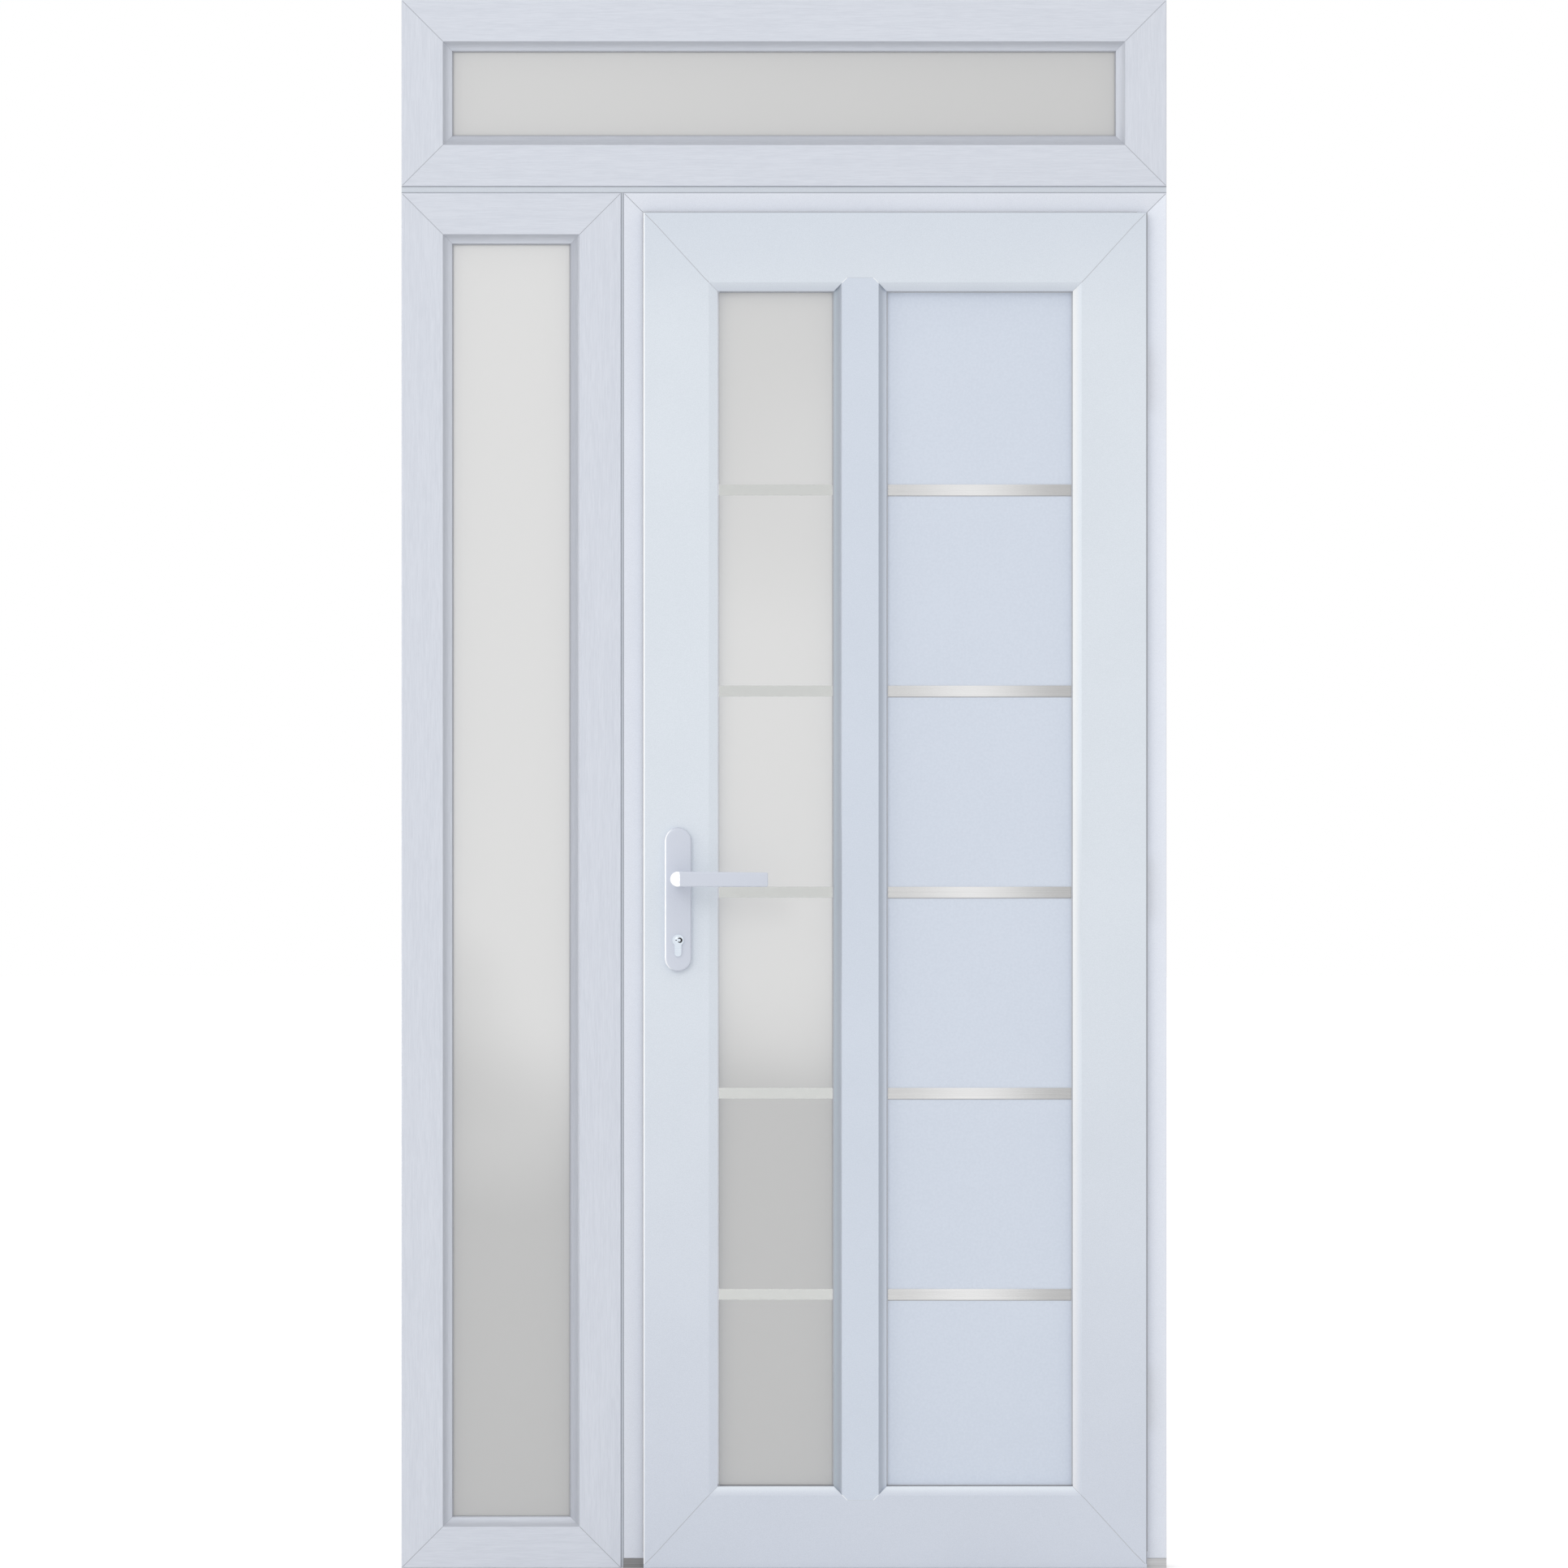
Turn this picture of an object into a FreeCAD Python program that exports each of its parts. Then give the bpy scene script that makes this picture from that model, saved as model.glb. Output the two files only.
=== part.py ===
"""White PVC entrance door with one sidelight and a transom light over both, in millimetres.

+X runs to the viewer's right, +Y away from the viewer and +Z up, seen from the side that the leaf opens to.
The origin is at floor level, midway across the whole width and midway through the frame's depth.
A frame's cross-section is drawn in (inward, back): inward from its outer edge, and back from its front face.
"""

import FreeCAD, Part
import math
import os

# Overall layout
LEAF_WIDTH = 756.0
LEAF_HEIGHT = 2032.0
FLOOR_GAP = 5.0
FRAME_REVEAL = 30.0
SIDELIGHT_WIDTH = 330.0
SIDELIGHT_JOINT = 4.0
TRANSOM_HEIGHT = 280.0
TRANSOM_JOINT = 10.0

# Depths, front to back
FRAME_DEPTH = 70.0
LEAF_PROJECTION = 20.0
SEAL_GAP = 5.0
STOP_THICKNESS = 15.0

# Door frame and threshold
FLANGE_WIDTH = 20.0
REBATE_GAP = 12.0
STOP_LIP = 18.0
THRESHOLD_HEIGHT = 15.0
TREAD_GROOVES = 5
TREAD_GROOVE_WIDTH = 3.0
TREAD_GROOVE_DEPTH = 1.0
TREAD_GROOVE_PITCH = 8.0

# Fixed frames of the sidelight and transom
FIXED_FACE_WIDTH = 75.5
COVE_WIDTH = 13.5
COVE_DEPTH = 13.0
COVE_HOLLOW = 1.2

# Leaf profile and mullion
LEAF_STILE_WIDTH = 111.0
LEAF_RAIL_WIDTH = 118.0
LEAF_BEVEL_WIDTH = 13.0
LEAF_BEVEL_DEPTH = 7.0
GLASS_LIGHT_WIDTH = 175.0
MULLION_WIDTH = 79.0
MULLION_COVE_WIDTH = 12.0

# Glazing
LIP_THICKNESS = 18.0
GLAZING_REBATE = 20.0
GASKET_THICKNESS = 3.0
GASKET_SHOWING = 2.0
GASKET_COVERED = 8.0
GLAZING_THICKNESS = 24.0
PANE_THICKNESS = 4.0
PANE_COVERED = 15.0
BEAD_SLOPE = 11.0
BEAD_NOSE = 4.0
BEAD_MITRE_RELIEF = 0.2

# Coupling groove round the outside of every frame
GROOVE_WIDTH = 14.0
GROOVE_DEPTH = 4.0
TONGUE_CLEARANCE = 0.5
COUPLER_RECESS = 2.5

# Panel strips
STRIP_COUNT = 5
STRIP_PITCH = 302.3
LOWEST_FIELD = 280.0
STRIP_HEIGHT = 16.5
STRIP_THICKNESS = 2.0
STRIP_PROUD = 1.0
STRIP_END_CLEARANCE = 0.3

# Handle
HANDLE_SETBACK = 52.0
HANDLE_HEIGHT = 1036.0
PLATE_WIDTH = 40.0
PLATE_LENGTH = 216.0
PLATE_ABOVE_AXIS = 77.0
PLATE_THICKNESS = 10.0
PLATE_EDGE_CHAMFER = 2.5
LEVER_LENGTH = 135.0
LEVER_HEIGHT = 23.0
LEVER_TIP_DROP = 1.6
LEVER_TIP_LENGTH = 14.0
LEVER_REACH = 52.0
GRIP_THICKNESS = 14.0
GRIP_TAPER = 2.5
GRIP_CHAMFER = 1.8
ELBOW_SPREAD = 5.0
NECK_RADIUS = 9.0
NECK_CLEARANCE = 0.3
SPINDLE_SIDE = 8.0
SPINDLE_HOLE_RADIUS = 6.5

# Lock
CYLINDER_DROP = 92.0
CYLINDER_HEAD_RADIUS = 8.5
CYLINDER_TOTAL_HEIGHT = 33.0
CYLINDER_TAIL_WIDTH = 10.0
CYLINDER_PROUD = 2.5
CYLINDER_CLEARANCE = 0.3
KEY_SLOT_WIDTH = 2.0
KEY_SLOT_HEIGHT = 8.5
KEY_SLOT_DEPTH = 6.0
FACEPLATE_WIDTH = 16.0
FACEPLATE_LENGTH = 1740.0
FACEPLATE_THICKNESS = 2.5
BOLT_WIDTH = 12.0
BOLT_PROUD = 1.5
LATCH_HEIGHT = 34.0
DEADBOLT_HEIGHT = 30.0
STRIKE_WIDTH = 24.0
STRIKE_THICKNESS = 1.5
STRIKE_MARGIN = 20.0

# Hinges, hidden in pockets behind the leaf's flange
HINGE_COUNT = 3
HINGE_LENGTH = 90.0
HINGE_END_DISTANCE = 250.0
HINGE_PLATE = 3.0
HINGE_PLATE_DEPTH = 32.0
KNUCKLE_RADIUS = 5.0
KNUCKLE_CLEARANCE = 0.4
PIN_RADIUS = 3.0
PIN_CLEARANCE = 0.05
PIN_INSET = 7.0
PIN_DEPTH = 8.0
POCKET_CLEARANCE = 1.0

# Weather seals
LEAF_SEAL_WIDTH = 3.0
LEAF_SEAL_INSET = 5.0
FRAME_SEAL_WIDTH = 4.0
SEAL_CLEARANCE = 1.0
BRUSH_WIDTH = 8.0
BRUSH_CLEARANCE = 1.5

# Rounded edges of the extruded profiles
FACE_EDGE_RADIUS = 1.5
LEAF_EDGE_RADIUS = 2.5

# Nearer than this, two places are the same
TOUCH = 1e-6

# Places that follow from the sizes above
DOOR_FRAME_WIDTH = LEAF_WIDTH + 2 * FRAME_REVEAL
UNIT_HEIGHT = FLOOR_GAP + LEAF_HEIGHT + FRAME_REVEAL
OVERALL_WIDTH = SIDELIGHT_WIDTH + SIDELIGHT_JOINT + DOOR_FRAME_WIDTH
OVERALL_HEIGHT = UNIT_HEIGHT + TRANSOM_JOINT + TRANSOM_HEIGHT
LEFT = -OVERALL_WIDTH / 2
RIGHT = OVERALL_WIDTH / 2
DOOR_LEFT = RIGHT - DOOR_FRAME_WIDTH
LEAF_LEFT = DOOR_LEFT + FRAME_REVEAL
LEAF_RIGHT = LEAF_LEFT + LEAF_WIDTH
LEAF_BOTTOM = FLOOR_GAP
LEAF_TOP = LEAF_BOTTOM + LEAF_HEIGHT

FRAME_FRONT = -FRAME_DEPTH / 2
FRAME_BACK = FRAME_DEPTH / 2
LEAF_FRONT = FRAME_FRONT - LEAF_PROJECTION
LEAF_DEPTH = LEAF_PROJECTION + FRAME_DEPTH - STOP_THICKNESS - SEAL_GAP
LEAF_BACK = LEAF_FRONT + LEAF_DEPTH
FLANGE_THICKNESS = LEAF_PROJECTION - SEAL_GAP
FLANGE_BACK = LEAF_FRONT + FLANGE_THICKNESS
FRAME_REBATE = FRAME_REVEAL + FLANGE_WIDTH - REBATE_GAP
GLAZING_FRONT = LIP_THICKNESS + GASKET_THICKNESS
GLAZING_BACK = GLAZING_FRONT + GLAZING_THICKNESS

# Rectangles in the elevation, as (left, bottom, right, top)
TRANSOM = (LEFT, UNIT_HEIGHT + TRANSOM_JOINT, RIGHT, OVERALL_HEIGHT)
SIDELIGHT = (LEFT, 0.0, LEFT + SIDELIGHT_WIDTH, UNIT_HEIGHT)
DOOR_FRAME = (DOOR_LEFT, THRESHOLD_HEIGHT, RIGHT, UNIT_HEIGHT)
LEAF = (LEAF_LEFT, LEAF_BOTTOM, LEAF_RIGHT, LEAF_TOP)


def grown(rect, margin):
    """The rectangle with every side moved outwards by margin."""
    left, bottom, right, top = rect
    return (left - margin, bottom - margin, right + margin, top + margin)


LEAF_OPENING = (LEAF_LEFT + LEAF_STILE_WIDTH, LEAF_BOTTOM + LEAF_RAIL_WIDTH,
                LEAF_RIGHT - LEAF_STILE_WIDTH, LEAF_TOP - LEAF_RAIL_WIDTH)
MULLION_LEFT = LEAF_OPENING[0] + GLASS_LIGHT_WIDTH
MULLION_RIGHT = MULLION_LEFT + MULLION_WIDTH
GLASS_LIGHT = (LEAF_OPENING[0], LEAF_OPENING[1], MULLION_LEFT, LEAF_OPENING[3])
PANEL_LIGHT = (MULLION_RIGHT, LEAF_OPENING[1], LEAF_OPENING[2], LEAF_OPENING[3])
HANDLE_X = LEAF_LEFT + HANDLE_SETBACK
CYLINDER_Z = HANDLE_HEIGHT - CYLINDER_DROP
PIN_X = LEAF_RIGHT - PIN_INSET
PIN_Y = LEAF_FRONT + PIN_DEPTH


def vector(x, y, z):
    return FreeCAD.Vector(x, y, z)


def block(low, high):
    """A box from its lowest to its highest corner."""
    size = [b - a for a, b in zip(low, high)]
    return Part.makeBox(*size, vector(*low))


def slab(rect, front, back):
    """A box over a rectangle of the elevation, between two depths."""
    left, bottom, right, top = rect
    return block((left, front, bottom), (right, back, top))


def rounded(corner, before, after, radius):
    """Start, middle and end of the arc that rounds a corner of an outline."""
    towards = []
    for other in (before, after):
        step = (other[0] - corner[0], other[1] - corner[1])
        length = math.hypot(*step)
        towards.append((step[0] / length, step[1] / length))
    bisector = (towards[0][0] + towards[1][0], towards[0][1] + towards[1][1])
    spread = math.hypot(*bisector)
    half_cosine = spread / 2
    half_sine = math.sqrt(1 - half_cosine ** 2)
    reach = radius * half_cosine / half_sine
    inset = radius / half_sine - radius
    start = tuple(c + t * reach for c, t in zip(corner, towards[0]))
    end = tuple(c + t * reach for c, t in zip(corner, towards[1]))
    middle = tuple(c + b / spread * inset for c, b in zip(corner, bisector))
    return start, middle, end


def extrusion(corners, place, along):
    """A closed outline, put into space by place and carried along a vector.

    A corner is (a, b), or (a, b, radius) where it is rounded, or (a, b, 0, hollow) where the edge that
    leaves it is an arc, bowed to its left by hollow.
    """
    corners = [tuple(c) + (0.0,) * (4 - len(c)) for c in corners]
    count = len(corners)
    turns = []
    for i, (a, b, radius, _) in enumerate(corners):
        here = (a, b)
        if radius:
            turns.append(rounded(here, corners[i - 1][:2], corners[(i + 1) % count][:2], radius))
        else:
            turns.append((here, None, here))
    edges = []
    for i, (start, middle, end) in enumerate(turns):
        following = turns[(i + 1) % count][0]
        hollow = corners[i][3]
        if middle:
            edges.append(Part.Arc(place(*start), place(*middle), place(*end)).toShape())
        if hollow:
            run = (following[0] - end[0], following[1] - end[1])
            length = math.hypot(*run)
            bow = ((end[0] + following[0]) / 2 - run[1] / length * hollow,
                   (end[1] + following[1]) / 2 + run[0] / length * hollow)
            edges.append(Part.Arc(place(*end), place(*bow), place(*following)).toShape())
        else:
            edges.append(Part.LineSegment(place(*end), place(*following)).toShape())
    return Part.Face(Part.Wire(edges)).extrude(along)


def elevation_prism(corners, front, back):
    """An outline in (x, z) carried from one depth to another."""
    return extrusion(corners, lambda x, z: vector(x, front, z), vector(0, back - front, 0))


def plan_prism(corners, bottom, top):
    """An outline in (x, y) carried from one height to another."""
    return extrusion(corners, lambda x, y: vector(x, y, bottom), vector(0, 0, top - bottom))


def side_prism(corners, left, right):
    """An outline in (y, z) carried from one side to another."""
    return extrusion(corners, lambda y, z: vector(left, y, z), vector(right - left, 0, 0))


def even_mitre(width):
    """A mitre at 45 degrees, for a frame whose sides are equally wide."""
    return [(0, 0), (width, width)]


def leaf_mitre():
    """The mitre between the leaf's stiles and its wider rails, at 45 degrees where their profiles step."""
    return [(0, 0), (FLANGE_WIDTH, FLANGE_WIDTH),
            (LEAF_STILE_WIDTH - GLAZING_REBATE, LEAF_RAIL_WIDTH - GLAZING_REBATE),
            (LEAF_STILE_WIDTH, LEAF_RAIL_WIDTH)]


def mitre_corners(side, rect, mitre, relief=0.0):
    """The outline that a mitred frame member covers in the elevation, shortened by relief at both ends.

    The mitre is a line of (across, up) steps from a frame's outer corner to its inner one.
    """
    left, bottom, right, top = rect
    ends = {
        "left": ((left, bottom, 1, 1), (left, top, 1, -1)),
        "right": ((right, bottom, -1, 1), (right, top, -1, -1)),
        "sill": ((left, bottom, 1, 1), (right, bottom, -1, 1)),
        "head": ((left, top, 1, -1), (right, top, -1, -1)),
    }[side]
    along_x = relief if side in ("sill", "head") else 0.0
    along_z = relief if side in ("left", "right") else 0.0
    first, last = [[(x + to_right * (across + along_x), z + upward * (up + along_z)) for across, up in mitre]
                   for x, z, to_right, upward in ends]
    return first + last[::-1]


def member(side, rect, profile, front):
    """One side of a rectangular frame: its profile carried along the whole side, not yet cut at the ends."""
    left, bottom, right, top = rect
    upright = vector(0, 0, top - bottom)
    level = vector(right - left, 0, 0)
    place, along = {
        "left": (lambda inward, back: vector(left + inward, front + back, bottom), upright),
        "right": (lambda inward, back: vector(right - inward, front + back, bottom), upright),
        "sill": (lambda inward, back: vector(left, front + back, bottom + inward), level),
        "head": (lambda inward, back: vector(left, front + back, top - inward), level),
    }[side]
    return extrusion(profile, place, along)


def mitred_member(side, rect, profile, front, depth, mitre, relief=0.0):
    """One side of a rectangular frame, cut at its mitres."""
    mask = elevation_prism(mitre_corners(side, rect, mitre, relief), front, front + depth)
    return member(side, rect, profile, front).common(mask)


def outer_groove(depth):
    """The coupling groove in a frame's outer edge, from the back corner round to the front."""
    near = (depth - GROOVE_WIDTH) / 2
    far = (depth + GROOVE_WIDTH) / 2
    return [(0, far), (GROOVE_DEPTH, far), (GROOVE_DEPTH, near), (0, near)]


def fixed_profile():
    """Sidelight and transom: flat face, hollow cove down to the glass, rebate for glass and bead behind."""
    cove_start = FIXED_FACE_WIDTH - COVE_WIDTH
    rebate = FIXED_FACE_WIDTH - GLAZING_REBATE
    return [
        (0, 0, FACE_EDGE_RADIUS), (cove_start, 0, 0, COVE_HOLLOW), (FIXED_FACE_WIDTH, COVE_DEPTH),
        (FIXED_FACE_WIDTH, LIP_THICKNESS), (rebate, LIP_THICKNESS), (rebate, FRAME_DEPTH),
        (0, FRAME_DEPTH, FACE_EDGE_RADIUS), *outer_groove(FRAME_DEPTH),
    ]


def door_frame_profile():
    """Jambs and head of the door frame: flat face, rebate for the leaf, stop at the back."""
    stop_edge = FRAME_REBATE + STOP_LIP
    stop_front = FRAME_DEPTH - STOP_THICKNESS
    return [
        (0, 0, FACE_EDGE_RADIUS), (FRAME_REBATE, 0, FACE_EDGE_RADIUS), (FRAME_REBATE, stop_front),
        (stop_edge, stop_front, FACE_EDGE_RADIUS), (stop_edge, FRAME_DEPTH, FACE_EDGE_RADIUS),
        (0, FRAME_DEPTH, FACE_EDGE_RADIUS), *outer_groove(FRAME_DEPTH),
    ]


def leaf_profile(width):
    """Stile or rail of the leaf: overlapping flange, bevelled inner edge, rebate for glass and bead."""
    bevel_start = width - LEAF_BEVEL_WIDTH
    rebate = width - GLAZING_REBATE
    return [
        (0, 0, LEAF_EDGE_RADIUS), (bevel_start, 0), (width, LEAF_BEVEL_DEPTH),
        (width, LIP_THICKNESS), (rebate, LIP_THICKNESS), (rebate, LEAF_DEPTH),
        (FLANGE_WIDTH, LEAF_DEPTH, FACE_EDGE_RADIUS), (FLANGE_WIDTH, FLANGE_THICKNESS),
        (0, FLANGE_THICKNESS, FACE_EDGE_RADIUS),
    ]


def bead_profile(depth):
    """Glazing bead: seated in the rebate, with its nose on the glass and a slope down to the back face."""
    return [
        (0, GLAZING_BACK), (GLAZING_REBATE, GLAZING_BACK), (GLAZING_REBATE, GLAZING_BACK + BEAD_NOSE),
        (GLAZING_REBATE - BEAD_SLOPE, depth, FACE_EDGE_RADIUS), (0, depth),
    ]


def beads(opening, front, depth):
    """The four beads round an opening, with hairline mitres, on the side away from the viewer."""
    rect = grown(opening, GLAZING_REBATE)
    profile = bead_profile(depth)
    mitre = even_mitre(GLAZING_REBATE)
    return [mitred_member(side, rect, profile, front, depth, mitre, BEAD_MITRE_RELIEF)
            for side in ("left", "right", "sill", "head")]


def gasket(opening, front):
    """The rubber ring between the lip and the glass, with a thin edge showing."""
    near = front + LIP_THICKNESS
    far = near + GASKET_THICKNESS
    outside = slab(grown(opening, GASKET_COVERED), near, far)
    return outside.cut(slab(grown(opening, -GASKET_SHOWING), near, far))


def panes(opening, front):
    """The outer and inner pane of a sealed double-glazed unit."""
    rect = grown(opening, PANE_COVERED)
    near = front + GLAZING_FRONT
    far = front + GLAZING_BACK
    return [slab(rect, near, near + PANE_THICKNESS), slab(rect, far - PANE_THICKNESS, far)]


def fixed_light(name, rect, side_names):
    """A fixed window: four mitred members, gasket, glass and beads."""
    opening = grown(rect, -FIXED_FACE_WIDTH)
    profile = fixed_profile()
    mitre = even_mitre(FIXED_FACE_WIDTH)
    nodes = {f"{name}_{side_names[side]}": mitred_member(side, rect, profile, FRAME_FRONT, FRAME_DEPTH, mitre)
             for side in side_names}
    nodes[f"{name}_gasket"] = gasket(opening, FRAME_FRONT)
    nodes[f"{name}_glass"] = panes(opening, FRAME_FRONT)
    nodes[f"{name}_beads"] = beads(opening, FRAME_FRONT, FRAME_DEPTH)
    return nodes


def coupler_corners(thickness):
    """Cross-section of a coupler: a bar between two frames with a tongue in the groove of each."""
    near = FRAME_FRONT + COUPLER_RECESS
    far = FRAME_BACK - COUPLER_RECESS
    tongue = GROOVE_WIDTH / 2 - TONGUE_CLEARANCE
    reach = GROOVE_DEPTH - TONGUE_CLEARANCE
    return [
        (near, 0), (-tongue, 0), (-tongue, -reach), (tongue, -reach), (tongue, 0), (far, 0),
        (far, thickness), (tongue, thickness), (tongue, thickness + reach), (-tongue, thickness + reach),
        (-tongue, thickness), (near, thickness),
    ]


def couplers():
    """The level coupler under the transom and the upright one beside the sidelight."""
    level = side_prism([(y, UNIT_HEIGHT + z) for y, z in coupler_corners(TRANSOM_JOINT)], LEFT, RIGHT)
    start = LEFT + SIDELIGHT_WIDTH
    upright = plan_prism([(start + x, y) for y, x in coupler_corners(SIDELIGHT_JOINT)], 0, UNIT_HEIGHT)
    return {"transom_coupler": level, "sidelight_coupler": upright.cut(level).cut(threshold())}


def threshold():
    """Low aluminium threshold under the jambs, with a ribbed tread."""
    body = side_prism([(FRAME_FRONT, 0), (FRAME_BACK, 0), (FRAME_BACK, THRESHOLD_HEIGHT, FACE_EDGE_RADIUS),
                       (FRAME_FRONT, THRESHOLD_HEIGHT, FACE_EDGE_RADIUS)], DOOR_LEFT, RIGHT)
    first = -TREAD_GROOVE_PITCH * (TREAD_GROOVES - 1) / 2
    for i in range(TREAD_GROOVES):
        middle = first + i * TREAD_GROOVE_PITCH
        low = (DOOR_LEFT, middle - TREAD_GROOVE_WIDTH / 2, THRESHOLD_HEIGHT - TREAD_GROOVE_DEPTH)
        high = (RIGHT, middle + TREAD_GROOVE_WIDTH / 2, THRESHOLD_HEIGHT)
        body = body.cut(block(low, high))
    return body


def door_frame():
    """Two jambs that stand on the threshold and are mitred to the head."""
    profile = door_frame_profile()
    width = FRAME_REBATE + STOP_LIP
    mitre = even_mitre(width)
    left, bottom, right, top = DOOR_FRAME
    upright_masks = {
        "left": [(left, bottom), (left + width, bottom), (left + width, top - width), (left, top)],
        "right": [(right, bottom), (right, top), (right - width, top - width), (right - width, bottom)],
    }
    jambs = {side: member(side, DOOR_FRAME, profile, FRAME_FRONT).common(
        elevation_prism(mask, FRAME_FRONT, FRAME_BACK)) for side, mask in upright_masks.items()}
    return {
        "door_frame_head": mitred_member("head", DOOR_FRAME, profile, FRAME_FRONT, FRAME_DEPTH, mitre),
        "door_frame_lock_jamb": jambs["left"],
        "door_frame_hinge_jamb": jambs["right"],
    }


def frame_seal():
    """Rubber seal on the frame's stop, a short way off the back of the leaf."""
    far = FRAME_BACK - STOP_THICKNESS
    near = LEAF_BACK + SEAL_CLEARANCE
    inset = FRAME_REBATE + STOP_LIP - FRAME_SEAL_WIDTH
    left, bottom, right, top = DOOR_FRAME
    outer = (left + inset, bottom, right - inset, top - inset)
    inner = (outer[0] + FRAME_SEAL_WIDTH, bottom, outer[2] - FRAME_SEAL_WIDTH, outer[3] - FRAME_SEAL_WIDTH)
    return slab(outer, near, far).cut(slab(inner, near, far))


def mullion():
    """Upright bar of the leaf, coved on both sides, with ends cut to a blunt point let into the rails."""
    middle = (MULLION_LEFT + MULLION_RIGHT) / 2
    edge = MULLION_WIDTH / 2
    flat = edge - MULLION_COVE_WIDTH
    web = edge - GLAZING_REBATE
    section = [
        (-flat, 0), (flat, 0, 0, COVE_HOLLOW), (edge, COVE_DEPTH), (edge, LIP_THICKNESS),
        (web, LIP_THICKNESS), (web, LEAF_DEPTH), (-web, LEAF_DEPTH), (-web, LIP_THICKNESS),
        (-edge, LIP_THICKNESS), (-edge, COVE_DEPTH, 0, COVE_HOLLOW),
    ]
    bottom = LEAF_OPENING[1]
    top = LEAF_OPENING[3]
    foot = bottom - GLAZING_REBATE
    peak = top + GLAZING_REBATE
    bar = plan_prism([(middle + c[0], LEAF_FRONT + c[1], *c[2:]) for c in section], foot, peak)
    outline = [(-edge, bottom), (-web, foot), (web, foot), (edge, bottom),
               (edge, top), (web, peak), (-web, peak), (-edge, top)]
    mask = elevation_prism([(middle + x, z) for x, z in outline], LEAF_FRONT, LEAF_BACK)
    return bar.common(mask), mask


def is_along_depth(edge):
    """Whether an edge is straight and runs from front to back."""
    ends = [v.Point for v in edge.Vertexes]
    run = ends[-1].sub(ends[0])
    return math.hypot(run.x, run.z) < TOUCH


def through_leaf(radius, z, front, back):
    """A round bar on the handle's centre line, from one depth to another."""
    return Part.makeCylinder(radius, back - front, vector(HANDLE_X, front, z), vector(0, 1, 0))


def cylinder_prism(front, back, grow=0.0):
    """The lock cylinder's outline, a round head over a narrow tail, carried from one depth to another."""
    half = CYLINDER_TAIL_WIDTH / 2 + grow
    foot = CYLINDER_Z + CYLINDER_HEAD_RADIUS - CYLINDER_TOTAL_HEIGHT + CYLINDER_TAIL_WIDTH / 2
    head = through_leaf(CYLINDER_HEAD_RADIUS + grow, CYLINDER_Z, front, back)
    tail = slab((HANDLE_X - half, foot, HANDLE_X + half, CYLINDER_Z), front, back)
    return head.fuse([tail, through_leaf(half, foot, front, back)]).removeSplitter()


def lock_cylinder():
    """Profile cylinder right through the leaf, with a key slot in each end."""
    front = LEAF_FRONT - PLATE_THICKNESS - CYLINDER_PROUD
    back = LEAF_BACK + PLATE_THICKNESS + CYLINDER_PROUD
    body = cylinder_prism(front, back)
    slot = (HANDLE_X - KEY_SLOT_WIDTH / 2, CYLINDER_Z - KEY_SLOT_HEIGHT / 2,
            HANDLE_X + KEY_SLOT_WIDTH / 2, CYLINDER_Z + KEY_SLOT_HEIGHT / 2)
    return body.cut(slab(slot, front, front + KEY_SLOT_DEPTH)).cut(slab(slot, back - KEY_SLOT_DEPTH, back))


def handle_plate(face, outward):
    """Long round-ended plate on one face of the leaf, with holes for the lever's neck and the cylinder."""
    half = PLATE_WIDTH / 2
    top = HANDLE_HEIGHT + PLATE_ABOVE_AXIS
    bottom = top - PLATE_LENGTH
    shown = face + outward * PLATE_THICKNESS
    front = min(face, shown)
    back = max(face, shown)
    body = slab((HANDLE_X - half, bottom + half, HANDLE_X + half, top - half), front, back)
    ends = [through_leaf(half, z, front, back) for z in (bottom + half, top - half)]
    body = body.fuse(ends).removeSplitter()
    rim = [e for e in body.Edges if all(abs(v.Point.y - shown) < TOUCH for v in e.Vertexes)]
    body = body.makeChamfer(PLATE_EDGE_CHAMFER, rim)
    neck_hole = through_leaf(NECK_RADIUS + NECK_CLEARANCE, HANDLE_HEIGHT, front, back)
    return body.cut(neck_hole).cut(cylinder_prism(front, back, CYLINDER_CLEARANCE))


def lever_elevation():
    """Lever from the front: a round end on the axis, a level lower edge, an upper edge falling to the tip."""
    half = LEVER_HEIGHT / 2
    tip_top = half - LEVER_TIP_DROP
    slope = math.asin(half / math.hypot(LEVER_LENGTH, tip_top)) - math.atan2(tip_top, LEVER_LENGTH)
    end_bow = half * (1 + math.sin(slope / 2))
    return [(0, -half), (LEVER_LENGTH, -half), (LEVER_LENGTH, tip_top),
            (half * math.sin(slope), half * math.cos(slope), 0, -end_bow)]


def lever_plan():
    """Lever from above: a slanted outer elbow, a grip that thins a little and a tip that turns back."""
    grip_back = LEVER_REACH - GRIP_THICKNESS
    elbow_back = grip_back - NECK_RADIUS
    beyond = LEVER_HEIGHT
    return [
        (-beyond, elbow_back), (NECK_RADIUS, elbow_back), (NECK_RADIUS + ELBOW_SPREAD, grip_back),
        (LEVER_LENGTH, grip_back), (LEVER_LENGTH, grip_back + GRIP_THICKNESS / 2),
        (LEVER_LENGTH - LEVER_TIP_LENGTH, LEVER_REACH - GRIP_TAPER), (GRIP_TAPER, LEVER_REACH),
        (-beyond, LEVER_REACH - GRIP_TAPER - beyond),
    ]


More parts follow.
